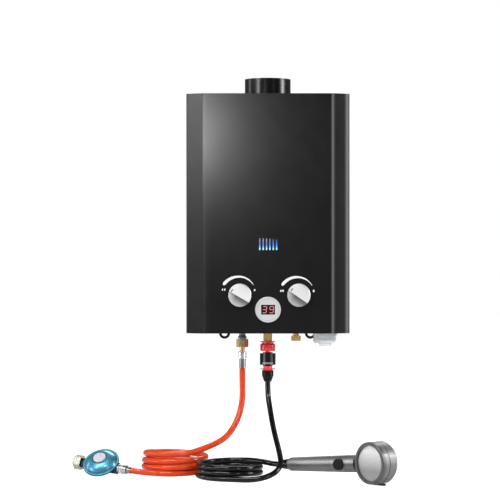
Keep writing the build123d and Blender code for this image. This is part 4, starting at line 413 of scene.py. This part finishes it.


# How light the shower's shell is: its head by the distance towards its face, with the dark line of its seam,
# and its handle by the height over its axis, with a painted highlight band above its axis and painted shade
# bands.
HEAD_SEAM = [(1.9, 1.0), (2.3, 0.12), (3.3, 0.12), (3.7, 1.0)]
HEAD_FRONT = [(10.0, 1.0), (14.0, 0.6), (19.5, 0.45)]
HANDLE_LIGHT_BY_HEIGHT = [(-15, 0.45), (-12, 0.8), (-7, 0.95), (-4, 0.8), (-1.5, 0.5), (0.5, 0.6), (2.5, 1.3),
                    (5, 1.75), (7.5, 1.3), (10, 0.85), (13, 0.5), (15, 0.4)]
HEAD_EDGE = (37.3 * MM, 37.6 * MM)          # distance from its axis where the head ends and its lever begins
HEAD_END = (46.0 * MM, 46.5 * MM)           # and where the handle begins


def brushed_shell(name, colour, roughness):
    """Plated plastic with a brushed look: half metal, with fine lines along the handle, and a painted
    highlight and painted shade across the handle.
    """
    finish, tree, shader, place = new_finish(name, colour, roughness, 0.5)
    lines = noise(tree, place, 0.0006, 2.0, (0.06, 0.1, 1))
    tone = mixed(tree, spread(tree, lines, 0, 1), darker(colour, 0.14), lighter(colour, 0.14))
    to_face = along_of(tree, place, HEAD_PLACE, FACE_DIR)
    head = multiplied(tree, bands(tree, to_face, HEAD_SEAM), bands(tree, to_face, HEAD_FRONT))
    reach = axis_distance(tree, place, HEAD_PLACE, FACE_DIR)
    head = mixed(tree, spread(tree, reach, 1.0, 0.0, *HEAD_EDGE), (0.04, 0.04, 0.04), head)
    # painted highlight and painted shade across the handle, by height over its axis
    handle = bands(tree, along_of(tree, place, HANDLE_PLACE, HANDLE_UP), HANDLE_LIGHT_BY_HEIGHT)
    shade = mixed(tree, spread(tree, reach, 1.0, 0.0, *HEAD_END), handle, head)
    paint(tree, shader, multiplied(tree, tone, shade))
    vary_gloss(tree, shader, lines, roughness * 0.8, roughness * 1.2)
    emboss(tree, shader, lines, 0.00001, 0.3)
    return finish


def banded_metal(name, colour, roughness, stops):
    """Plated metal whose tint changes with height, as on a stack of fittings."""
    finish, tree, shader, place = new_finish(name, colour, roughness, 1.0)
    tint = bands(tree, part_of(tree, place, "Z"), stops)
    tint.node.color_ramp.interpolation = "CONSTANT"
    paint(tree, shader, tint)
    marks = noise(tree, place, 0.0005, 2.0, (0.15, 0.15, 1))
    vary_gloss(tree, shader, marks, roughness * 0.8, roughness * 1.3)
    return finish


# Painted sheen on the coupler's sleeve: highlight streaks by X, and a ring by Z that ends short of its
# sides.
SLEEVE_SHEEN_STREAKS = [(-10.5, 0.0), (-9.0, 0.02), (-7.0, 0.16), (-5.0, 0.02), (-3.5, 0.0),
                  (5.0, 0.0), (6.4, 0.02), (8.0, 0.14), (9.6, 0.02), (10.5, 0.0)]
SLEEVE_SHEEN_RING = [(-279.6, 0.0), (-278.6, 0.2), (-276.2, 0.26), (-275.0, 0.0)]
SLEEVE_WIDTH = [(-10.5, 0.0), (-9.0, 1.0), (9.0, 1.0), (10.5, 0.0)]


def deep_black(name, sleeve=False):
    """Glossy black plastic, with the painted sheen of the coupler's sleeve where it is asked for."""
    finish, tree, shader, place = new_finish(name, (0.005, 0.005, 0.006), 0.2)
    patches = noise(tree, place, 0.006)
    tone = mixed(tree, patches, (0.004, 0.004, 0.005), (0.007, 0.007, 0.008))
    if sleeve:
        # painted sheen: highlight streaks and a light ring on the sleeve
        side = part_of(tree, place, "X")
        ring = bands(tree, part_of(tree, place, "Z"), SLEEVE_SHEEN_RING)
        ring = multiplied(tree, ring, bands(tree, side, SLEEVE_WIDTH))
        tone = added(tree, tone, added(tree, bands(tree, side, SLEEVE_SHEEN_STREAKS), ring))
    paint(tree, shader, tone)
    vary_gloss(tree, shader, patches, 0.16, 0.26)
    shader.inputs["Specular IOR Level"].default_value = 0.22
    return finish


def nozzle_plate(name):
    """The shower's face: pale plastic with soft nozzles, and painted shade that makes it greyer towards its
    lower side.
    """
    finish, tree, shader, place = new_finish(name, (0.6, 0.61, 0.62), 0.35)
    height = along_of(tree, place, HEAD_PLACE, (0, 0, 1))
    # painted shade: greyer towards its lower side
    tone = bands(tree, height, [(-32, 0.3), (-14, 0.24), (2, 0.42), (20, 0.66), (32, 0.6)])
    nozzles = tree.nodes.new("ShaderNodeTexVoronoi")
    nozzles.inputs["Scale"].default_value = 260
    nozzles.inputs["Randomness"].default_value = 0.35
    tree.links.new(place, nozzles.inputs["Vector"])
    dots = ramp(tree, nozzles.outputs["Distance"], [(0.0, 0.78), (0.25, 0.8), (0.4, 1.0)])
    paint(tree, shader, multiplied(tree, tone, dots))
    return finish


def brass_nut_painted_light(name):
    """Brass with stains, with painted light and a painted reflection across the nut: cream on its left
    through brown to copper red on its right, where the red plastics nearby are reflected.
    """
    finish, tree, shader, place = new_finish(name, (0.6, 0.45, 0.25), 0.3, 0.6)
    # painted light and painted reflection across the nut, by X
    tone = bands(tree, part_of(tree, place, "X"), [
        (-58, (0.8, 0.62, 0.36)),
        (-51, (0.66, 0.44, 0.2)),
        (-46, (0.45, 0.27, 0.12)),
        (-41, (0.62, 0.2, 0.1)),
        (-36, (0.7, 0.14, 0.1)),
    ])
    stains = noise(tree, place, 0.004, 4.0)
    paint(tree, shader, mixed(tree, spread(tree, stains, 0, 0.5), tone, (0.5, 0.36, 0.2)))
    vary_gloss(tree, shader, stains, 0.24, 0.4)
    return finish


def ringed_bezel(name):
    """Silver paint on the display's round bezel, with a faint ring inside its rim."""
    finish, tree, shader, place = new_finish(name, (0.56, 0.57, 0.57), 0.4, 0.3)
    radius = axis_distance(tree, place, (DISPLAY[0], 0, DISPLAY[1]), (0, 1, 0))
    tone = bands(tree, radius, [(0, 0.56), (19.4, 0.58), (20.2, 0.4), (20.9, 0.62), (22.6, 0.56),
                                (23.6, 0.3)])
    flakes = noise(tree, place, 0.0005, 2.0)
    flecks = mixed(tree, flakes, (0.94, 0.95, 0.95), (1.0, 1.0, 1.0))
    paint(tree, shader, multiplied(tree, tone, flecks))
    vary_gloss(tree, shader, flakes, 0.34, 0.46)
    return finish


def make_finishes():
    """The finishes by the record's slot names, for every piece that has none of its own."""
    return {
        "black_coat": powder_coat("black_coat", (0.0022, 0.0022, 0.0024), 0.3, (0.02, 0.02, 0.021)),
        "black_collar": round_coat("black_collar", (0.004, 0.004, 0.0045), 0.25, FLUE),
        "zinc_screw": metal("zinc_screw", (0.09, 0.09, 0.1), 0.35),
        "copper": metal("copper", (0.78, 0.42, 0.27), 0.32, stretch=(1, 1, 0.1), shade=0.3),
        "stainless": metal("stainless", (0.56, 0.55, 0.54), 0.3, stretch=(0.08, 1, 1)),
        "galvanised": zinc_sheet("galvanised"),
        "aluminium_cast": casting("aluminium_cast", (0.5, 0.51, 0.52), 0.48),
        "brass": metal("brass", (1.0, 0.56, 0.2), 0.26, grain=0.0004, stretch=(0.15, 0.15, 1),
                       shade=0.16, metallic=0.35),
        "brass_cast": casting("brass_cast", (0.6, 0.42, 0.2), 0.45),
        "ceramic": moulded("ceramic", (0.78, 0.77, 0.72), 0.2, depth=0.00001, shade=0.05),
        "diaphragm_rubber": moulded("diaphragm_rubber", (0.03, 0.03, 0.03), 0.6),
        "spring_steel": metal("spring_steel", (0.5, 0.5, 0.5), 0.28),
        "black_plastic": moulded("black_plastic", (0.025, 0.025, 0.027), 0.42),
        "smoked_window": dark_sheet("smoked_window", (0.012, 0.006, 0.007), 0.08),
        "circuit_board": board_finish("circuit_board"),
        "mica": dark_sheet("mica", (0.02, 0.03, 0.06), 0.12),
        "battery_white": milky_plastic("battery_white"),
        "cell_jacket": moulded("cell_jacket", (0.06, 0.07, 0.1), 0.25, shade=0.05),
        "steel_fit": metal("steel_fit", (0.62, 0.62, 0.63), 0.2, stretch=(0.15, 0.15, 1), shade=0.06),
        "red_plastic": moulded("red_plastic", (0.85, 0.05, 0.055), 0.22, depth=0.00001),
        "black_gloss": deep_black("black_gloss"),
        "orange_hose": hose_rubber("orange_hose", (0.66, 0.056, 0.009), (0.6, 0.044, 0.006), 0.19),
        "black_hose": hose_rubber("black_hose", (0.004, 0.004, 0.0045), (0.002, 0.002, 0.0025), 0.17),
        "blue_casting": metallic_paint("blue_casting", (0.085, 0.34, 0.48), (0.055, 0.25, 0.37), 0.36),
        "teal_casting": metallic_paint("teal_casting", (0.03, 0.15, 0.2), (0.012, 0.07, 0.1), 0.34),
        "white_cap": moulded("white_cap", (0.52, 0.52, 0.56), 0.3, depth=0.00001, shade=0.1),
        "shower_silver": brushed_shell("shower_silver", (0.195, 0.197, 0.197), 0.42),
        "shower_white": nozzle_plate("shower_white"),
    }


finishes = make_finishes()
slots = {part["node"]: part["material_slot"] for part in frame["record"]["subparts"]}
own_finishes = {
    "gas_knob": grip_paint("gas_knob_paint", GAS_KNOB, 150),
    "water_knob": grip_paint("water_knob_paint", WATER_KNOB, 145),
    "gas_inlet": metal("dark_steel", (0.3, 0.3, 0.31), 0.42, metallic=0.6),
    "gas_hose_nut": brass_nut_painted_light("brass_painted_reflection"),
    "display_bezel": ringed_bezel("ringed_bezel"),
    "gas_hose_ends": banded_metal("hose_end_metal", (0.7, 0.7, 0.72), 0.16, [
        (-300.0, (0.32, 0.32, 0.33)),
        (-269.2, (0.86, 0.86, 0.87)),
        (-256.0, (0.75, 0.4, 0.24)),
        (-240.0, (0.75, 0.4, 0.24)),
    ]),
    "coupler_sleeve": deep_black("sleeve_black", sleeve=True),
    "regulator_hand_nut": metal("pale_nickel", (0.46, 0.46, 0.38), 0.3, shade=0.16),
}
for node_name, node in nodes.items():
    node.data.materials.clear()
    node.data.materials.append(own_finishes.get(node_name) or finishes[slots[node_name]])


# ---------------------------------------------------------------- camera, light and floor
def make_camera():
    """The camera, looking straight back along Y."""
    bpy.ops.object.camera_add(location=CAMERA_PLACE, rotation=(pi / 2, 0, 0))
    camera = bpy.context.object
    camera.data.lens = CAMERA_LENS
    camera.data.sensor_width = CAMERA_SENSOR
    camera.data.clip_end = CAMERA_REACH
    scene.camera = camera


def soft_lamp(name, place, aim, size, power):
    """A rectangular studio lamp at a place, facing another."""
    bpy.ops.object.light_add(type="AREA", location=place)
    lamp = bpy.context.object
    lamp.name = name
    lamp.data.shape = "RECTANGLE"
    lamp.data.size, lamp.data.size_y = size
    lamp.data.energy = power
    lamp.rotation_euler = (Vector(aim) - Vector(place)).to_track_quat("-Z", "Y").to_euler()


def joined_shaders(tree, share, first, second, output):
    """Two shaders mixed by a share and sent to an output node."""
    mix = tree.nodes.new("ShaderNodeMixShader")
    tree.links.new(share, mix.inputs["Fac"])
    tree.links.new(first, mix.inputs[1])
    tree.links.new(second, mix.inputs[2])
    tree.links.new(mix.outputs["Shader"], tree.nodes[output].inputs["Surface"])


HEATER_MIDDLE = (0, -0.1, -0.1)
LAMPS = [                       # name, place, where it is aimed, width and height, and watts
    ("key_lamp", (-1.5, -2.0, 3.0), HEATER_MIDDLE, (1.6, 1.6), 70),
    ("fill_lamp", (1.5, -2.7, 0.6), HEATER_MIDDLE, (0.25, 1.6), 12),
    ("back_lamp", (0.4, 2.6, 2.2), (0, 0, -0.1), (2.0, 1.2), 50),
    ("left_lamp", (-2.1, 0.4, 0.1), HEATER_MIDDLE, (0.4, 1.4), 8),
    ("right_lamp", (2.1, -0.6, 0.2), HEATER_MIDDLE, (0.4, 1.4), 16),
    ("wing_lamp", (-1.05, -0.87, 0.24), (-0.14, -0.1, 0.1), (0.3, 0.3), 2.2),
    ("pipe_lamp", (-1.0, -0.98, 0.42), (0, -0.1, 0.24), (0.14, 0.2), 3.0),
    ("low_lamp", (-2.5, -0.9, -0.1), (-0.1, -0.15, -0.45), (0.9, 0.5), 12),
    ("collar_lamp", (1.35, -0.28, 0.24), (0, -0.1, 0.22), (0.3, 0.3), 7.5),
    ("sheen_lamp", (-0.2, -0.8, 0.19), (-0.2, 0, 0.19), (0.12, 0.12), 3.2),
]
WORLD_LIGHT = 0.18


def make_lights():
    """The studio's lamps, and a world that is white to the camera and dim to everything else."""
    for lamp in LAMPS:
        soft_lamp(*lamp)
    world = bpy.data.worlds.new("studio")
    scene.world = world
    world.use_nodes = True
    tree = world.node_tree
    plain = tree.nodes["Background"]
    plain.inputs["Color"].default_value = (0.9, 0.92, 0.95, 1)
    plain.inputs["Strength"].default_value = WORLD_LIGHT
    white = tree.nodes.new("ShaderNodeBackground")
    white.inputs["Color"].default_value = (1, 1, 1, 1)
    to_camera = tree.nodes.new("ShaderNodeLightPath").outputs["Is Camera Ray"]
    joined_shaders(tree, to_camera, plain.outputs["Background"], white.outputs["Background"],
                   "World Output")


FLOOR_RADIUS = 9.0
FLOOR_GLOW = 1.62               # white light that the camera sees on the floor
FLOOR_GLOW_SHARE = 0.6          # how much of what it sees there is this light


def make_floor():
    """A round pale floor that fades to white for the camera and keeps the object's shadow."""
    bpy.ops.mesh.primitive_circle_add(vertices=96, radius=FLOOR_RADIUS, fill_type="NGON",
                                      location=(0, 0, FLOOR_Z))
    floor = bpy.context.object
    floor.name = "floor"
    finish, tree, shader, place = new_finish("pale_floor", (0.8, 0.8, 0.8), 0.9)
    shader.inputs["Specular IOR Level"].default_value = 0.0
    paint(tree, shader, mixed(tree, noise(tree, place, 0.4), (0.78, 0.78, 0.78), (0.82, 0.82, 0.82)))
    glow = tree.nodes.new("ShaderNodeEmission")
    glow.inputs["Strength"].default_value = FLOOR_GLOW
    to_camera = tree.nodes.new("ShaderNodeLightPath").outputs["Is Camera Ray"]
    share = spread(tree, to_camera, 0.0, FLOOR_GLOW_SHARE, 0, 1)
    joined_shaders(tree, share, shader.outputs["BSDF"], glow.outputs["Emission"], "Material Output")
    floor.data.materials.append(finish)


scene.view_settings.view_transform = "Standard"
make_camera()
make_lights()
make_floor()


# ---------------------------------------------------------------- hoses
TURN_POINTS = 16                            # points on each turn of a coil
GAS_START, GAS_TURNS = -90, 3               # degrees round its coil where it begins, and its turns
SHOWER_START, SHOWER_TURNS = -110, 919 / 360


def metres(points):
    """Points in millimetres, in metres."""
    return [(x * MM, y * MM, z * MM) for x, y, z in points]


def metres_of(*sizes):
    """Sizes in millimetres, in metres."""
    return [size * MM for size in sizes]


def along_list(share, values):
    """A value from an evenly spaced list, share of the way along it."""
    place = share * (len(values) - 1)
    before = min(int(place), len(values) - 2)
    return values[before] + (values[before + 1] - values[before]) * (place - before)


def coil_turns(centre, start, turns, levels, radii):
    """Turns of a hose, clockwise from above, through evenly spaced lists of heights and radii."""
    points = []
    count = round(turns * TURN_POINTS)
    for step in range(count + 1):
        share = step / count
        angle = radians(start - 360 * turns * share)
        size = along_list(share, radii)
        points.append((centre[0] + size * cos(angle), centre[1] + size * sin(angle),
                       along_list(share, levels)))
    return points


def hose(name, points, diameter, finish):
    """A hose on one smooth curve."""
    data = bpy.data.curves.new(name, "CURVE")
    data.dimensions = "3D"
    data.bevel_depth = diameter / 2
    data.bevel_resolution = 6
    data.use_fill_caps = True
    data.resolution_u = 6
    spline = data.splines.new("NURBS")
    spline.points.add(len(points) - 1)
    for point, place in zip(spline.points, points):
        point.co = (*place, 1)
    spline.order_u = 3
    spline.use_endpoint_u = True
    piece = bpy.data.objects.new(name, data)
    scene.collection.objects.link(piece)
    data.materials.append(finishes[finish])
    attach(piece, "heater")
    return piece


GAS_DROP = metres([
    (-47.3, -62.0, -286.3),
    (-47.3, -62.0, -312.0),
    (-46.5, -64.0, -342.0),
    (-51.5, -69.0, -369.5),
    (-62.0, -79.0, -394.0),
    (-78.0, -94.0, -414.0),
    (-100.0, -111.0, -424.5),
    (-122.0, -125.5, -432.0),
    (-147.0, -132.5, -439.5),
])
GAS_TAIL = metres([
    (-191.0, -132.5, -475.5),
    (-230.89, -133.14, -472.76),
    (-250.88, -124.2, -470.61),
])
SHOWER_DROP = metres([
    (0.0, -62.0, -311.4),
    (0.0, -62.0, -336.0),
    (4.0, -80.0, -361.0),
    (8.0, -103.0, -385.0),
    (12.5, -131.0, -405.0),
    (17.0, -158.0, -421.0),
    (21.0, -184.0, -437.0),
    (23.0, -207.0, -451.0),
    (13.0, -226.0, -464.0),
    (-9.0, -236.0, -472.5),
    (-34.0, -234.0, -476.0),
    (-62.0, -224.3, -476.0),
])
SHOWER_TAIL = metres([
    (-21.9, -125.4, -452.5),
    (-1.0, -143.0, -454.0),
    (10.54, -158.84, -455.56),
    (26.0, -168.0, -454.5),
])


def make_hoses():
    """The gas hose and the shower hose, each with a hanging end, its coil and a tail on the floor."""
    gas_turns = coil_turns(GAS_COIL, GAS_START, GAS_TURNS,
                           metres_of(-439.5, -453.3, -464.5, -475.5),
                           metres_of(57.5, 54.5, 59.5, 57.0, 60.0, 58.5, 57.5))
    gas = hose("gas_hose_line", GAS_DROP + gas_turns + GAS_TAIL, GAS_HOSE_D, "orange_hose")
    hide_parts("gas_hose", "gas_hose_coil")
    shower_turns = coil_turns(SHOWER_COIL, SHOWER_START, SHOWER_TURNS,
                              metres_of(-476.0, -472.0, -468.0, -464.0, -460.0, -456.3, -452.5),
                              metres_of(57.5, 59.0, 56.0, 58.5, 55.5, 57.5))
    shower = hose("shower_hose_line", SHOWER_DROP + shower_turns + SHOWER_TAIL, SHOWER_HOSE_D,
                  "black_hose")
    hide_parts("shower_hose", "shower_hose_coil")


make_hoses()


# ---------------------------------------------------------------- building pieces by hand
def settle(piece, name, finish, body):
    """Names a new piece, fixes its place into its mesh, gives it a finish and a body to ride on."""
    piece.name = name
    piece.data.name = name
    bpy.ops.object.transform_apply(location=True, rotation=True, scale=True)
    piece.data.materials.clear()
    piece.data.materials.append(finish)
    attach(piece, body)


def flat_piece(points):
    """A flat face with its corners at the given points."""
    bpy.ops.mesh.primitive_circle_add(vertices=len(points), radius=MM, fill_type="NGON",
                                      location=(0, 0, 0))
    piece = bpy.context.object
    for vertex, point in zip(piece.data.vertices, points):
        vertex.co = point
    return piece


def thicken(piece, thickness, offset):
    """Gives a flat piece a thickness: to one side of it at an offset of 1 or -1, or around it at 0."""
    modifier = piece.modifiers.new("solidify", "SOLIDIFY")
    modifier.thickness = thickness
    modifier.offset = offset
    bpy.context.view_layer.objects.active = piece
    bpy.ops.object.modifier_apply(modifier=modifier.name)


def joined(pieces):
    """Several pieces joined into the first."""
    bpy.ops.object.select_all(action="DESELECT")
    for piece in pieces:
        piece.select_set(True)
    bpy.context.view_layer.objects.active = pieces[0]
    bpy.ops.object.join()
    return bpy.context.object


# ---------------------------------------------------------------- prints and pointers
INK = 0.12 * MM                 # how far the printed marks stand out
INK_THICKNESS = 0.9 * INK

ARC_ENDS = (radians(151), radians(34))      # left and right
ARC_R = 34.2 * MM                           # at the left end
ARC_CLOSES = 3.7 * MM                       # how much less it is at the right end
ARC_WIDTHS = (6.0 * MM, 0.9 * MM)
ARC_TAPER = 1.15
ARC_ROUND_END = 0.055                       # the share of its length that its left end is rounded over
ARC_STEPS = 40

# Marks beside a knob, from its middle: across, up, width and height in millimetres.
FLAME_MARKS = [(-31.8, 10.1, 2.6, 4.0), (-27.6, 10.1, 3.0, 4.2), (26.9, 9.4, 3.0, 4.6)]
DROP_MARKS = [(-32.8, 7.9, 3.2, 4.4), (-28.9, 7.9, 3.2, 4.4), (27.2, 7.7, 3.6, 5.0)]
MARK_CORNERS = 16

POINTER_SIZE = (5.6 * MM, 0.3 * MM, 1.7 * MM)
POINTER_OUT = 18.1 * MM                     # from the casing's front to the bar's middle
POINTER_TURN = radians(56)


def ink_finish():
    """Screen-printed ink with tiny pinholes."""
    finish, tree, shader, place = new_finish("white_ink", (0.85, 0.85, 0.85), 0.45)
    pinholes = spread(tree, noise(tree, place, 0.0006, 2.0), 0, 1)
    paint(tree, shader, mixed(tree, pinholes, (0.6, 0.6, 0.6), (0.74, 0.74, 0.74)))
    return finish


def tapered_arc(centre):
    """A printed arc over a knob, broad and round at its left end and thin at its right."""
    (left, right), (wide, thin) = ARC_ENDS, ARC_WIDTHS
    bpy.ops.mesh.primitive_grid_add(x_subdivisions=ARC_STEPS, y_subdivisions=2, size=1,
                                    location=(0, 0, 0))
    piece = bpy.context.object
    for vertex in piece.data.vertices:
        share = vertex.co.x + 0.5
        angle = left + (right - left) * share
        width = wide + (thin - wide) * share ** ARC_TAPER
        width *= min(1.0, (share / ARC_ROUND_END) ** 0.5)
        radius = ARC_R - ARC_CLOSES * share + vertex.co.y * width
        vertex.co = (centre[0] + radius * cos(angle), FRONT_Y - INK, centre[1] + radius * sin(angle))
    thicken(piece, -INK_THICKNESS, 1)
    return piece


def drop_outline(width, height):
    """A drop about its middle: round below and pointed above."""
    points = []
    for step in range(MARK_CORNERS):
        angle = 2 * pi * step / MARK_CORNERS
        pinch = 1 - 0.85 * max(0.0, sin(angle)) ** 1.6
        points.append((width / 2 * cos(angle) * pinch, height / 2 * sin(angle)))
    return points


def flame_outline(width, height):
    """A flame about its middle: round below, with its tip leaning to the right."""
    return [(x + max(0.0, z / height) * width / 2, z) for x, z in drop_outline(width, height)]


def make_prints():
    """The two scales over the knobs, and the flame and drop marks at their ends."""
    pieces = [
        tapered_arc((GAS_KNOB[0] - 0.4 * MM, GAS_KNOB[1] + 1.4 * MM)),
        tapered_arc((WATER_KNOB[0] - 1.1 * MM, WATER_KNOB[1] + 0.6 * MM)),
    ]
    for knob, outline, marks in ((GAS_KNOB, flame_outline, FLAME_MARKS),
                                 (WATER_KNOB, drop_outline, DROP_MARKS)):
        for across, up, width, height in marks:
            mark_x, mark_z = knob[0] + across * MM, knob[1] + up * MM
            mark = flat_piece([(mark_x + x, FRONT_Y - INK, mark_z + z)
                               for x, z in outline(width * MM, height * MM)])
            thicken(mark, INK_THICKNESS, -1)
            pieces.append(mark)
    settle(joined(pieces), "front_prints", ink_finish(), "heater")


def make_pointer(name, knob, across, up, body):
    """The black bar on a knob's grip that points at its scale."""
    place = (knob[0] + across * MM, FRONT_Y - POINTER_OUT, knob[1] + up * MM)
    bpy.ops.mesh.primitive_cube_add(size=1, location=place, rotation=(0, -POINTER_TURN, 0),
                                    scale=POINTER_SIZE)
    settle(bpy.context.object, name, finishes["black_plastic"], body)


make_prints()
make_pointer("gas_pointer", GAS_KNOB, -14.3, 8.7, "gas_control")
make_pointer("water_pointer", WATER_KNOB, -13.2, 10.1, "water_control")


# ---------------------------------------------------------------- display and flames
FIGURE_HEIGHT = 11.6 * MM
FIGURE_WIDTH = 7.0 * MM
FIGURE_LEAN = 0.12
BAR_WIDTH = 1.5 * MM
BAR_GAP = 0.4 * MM              # how much shorter a bar is than its side of the figure
BAR_OUT = 0.16 * MM             # from the window to the bars
BAR_THICKNESS = 0.1 * MM
BARS = {                        # middle of each bar in widths and heights, and whether it is upright
    "top": (0, 0.5, False),
    "middle": (0, 0, False),
    "foot": (0, -0.5, False),
    "upper_right": (0.5, 0.25, True),
    "lower_right": (0.5, -0.25, True),
    "upper_left": (-0.5, 0.25, True),
}
FIGURES = [                     # middle of each figure, across, and its lit bars
    (-6.3 * MM, ("top", "middle", "foot", "upper_right", "lower_right")),
    (6.5 * MM, ("top", "middle", "foot", "upper_right", "lower_right", "upper_left")),
]

FLAME_Z = -56.2 * MM
FLAME_HALF = 11.1 * MM          # half the height of the tallest flame
FLAME_WIDTH = 2.5 * MM
FLAME_BELLY = 0.35 * MM
FLAME_BEHIND = 0.92 * MM        # from the casing's front to the flames
FLAME_PITCH = 6.15 * MM
FLAME_SHIFT = 0.4 * MM
FLAME_COUNT = 6


def glow_finish(name, colour, strength):
    """A light that shows through, unevenly bright in patches."""
    finish, tree, shader, place = new_finish(name, (0.02, 0.0, 0.0), 0.3)
    uneven = mixed(tree, noise(tree, place, 0.002), darker(colour, 0.25), colour)
    tree.links.new(uneven, shader.inputs["Emission Color"])
    shader.inputs["Emission Strength"].default_value = strength
    return finish


def figure_bar(middle_x, name):
    """One bar of a figure, pointed at both ends, leaning with the figure."""
    across, up, upright = BARS[name]
    bar_x, bar_z = middle_x + across * FIGURE_WIDTH, up * FIGURE_HEIGHT
    half = ((FIGURE_HEIGHT / 2 if upright else FIGURE_WIDTH) - BAR_GAP) / 2
    side = BAR_WIDTH / 2
    outline = [(half, 0), (half - side, side), (side - half, side),
               (-half, 0), (side - half, -side), (half - side, -side)]
    points = []
    for long_way, short_way in outline:
        x, z = (short_way, long_way) if upright else (long_way, short_way)
        z += bar_z
        points.append((bar_x + x + FIGURE_LEAN * z, WINDOW_Y - BAR_OUT, DISPLAY[1] + z))
    return flat_piece(points)


def make_figures():
    """The two glowing figures on the display's window."""
    figures = joined([figure_bar(middle_x, name) for middle_x, lit in FIGURES for name in lit])
    settle(figures, "display_figures", glow_finish("red_glow", (1.0, 0.34, 0.38), 0.85), "heater")
    thicken(figures, BAR_THICKNESS, 0)


def flame_finish():
    """A gas flame: near white at its foot, through blue, to a pale violet haze at its tip."""
    finish, tree, shader, place = new_finish("gas_flame", (0.0, 0.0, 0.0), 0.5)
    height = part_of(tree, place, "Z")
    rise = spread(tree, height, 0.0, 1.0, FLAME_Z - FLAME_HALF, FLAME_Z + FLAME_HALF)
    hazy = ramp(tree, rise, [
        (0.0, (0.2, 0.6, 0.75)),
        (0.08, (0.75, 1.0, 1.0)),
        (0.2, (0.2, 0.72, 1.0)),
        (0.38, (0.04, 0.26, 0.8)),
        (0.6, (0.12, 0.15, 0.45)),
        (0.8, (0.27, 0.26, 0.36)),
        (1.0, (0.16, 0.16, 0.2)),
    ])
    bluer = ramp(tree, rise, [
        (0.0, (0.2, 0.6, 0.75)),
        (0.08, (0.6, 1.0, 1.0)),
        (0.2, (0.1, 0.6, 1.0)),
        (0.45, (0.02, 0.2, 0.85)),
        (0.75, (0.01, 0.08, 0.4)),
        (0.95, (0.0, 0.01, 0.06)),
    ])
    to_right = spread(tree, part_of(tree, place, "X"), 0.0, 1.0, 0.0, 2.0 * FLAME_PITCH)
    tree.links.new(mixed(tree, to_right, hazy, bluer), shader.inputs["Emission Color"])
    shader.inputs["Emission Strength"].default_value = 1.15
    return finish


def flame_sheet(x, height):
    """One flame: a curved sheet that narrows towards its tip."""
    bpy.ops.mesh.primitive_grid_add(x_subdivisions=4, y_subdivisions=14, size=1)
    piece = bpy.context.object
    for vertex in piece.data.vertices:
        share = vertex.co.y + 0.5
        width = FLAME_WIDTH * (1 - 0.25 * share ** 2)
        belly = FLAME_BELLY * (1 - (2 * vertex.co.x) ** 2) * (1 - share * 0.6)
        vertex.co = (x + vertex.co.x * width, FRONT_Y + FLAME_BEHIND - belly,
                     FLAME_Z - FLAME_HALF + share * height)
    return piece


def make_flames():
    """A flame behind each sight slot, tall on the left and short and bluer on the right."""
    flames = []
    for place in range(FLAME_COUNT):
        x = (place - (FLAME_COUNT - 1) / 2) * FLAME_PITCH + FLAME_SHIFT
        height = 2 * FLAME_HALF * (1.0 - 0.05 * max(0, place - 2))
        flames.append(flame_sheet(x, height))
    piece = joined(flames)
    settle(piece, "sight_flames", flame_finish(), "heater")
    bpy.ops.object.shade_smooth_by_angle(angle=radians(60))


make_figures()
make_flames()
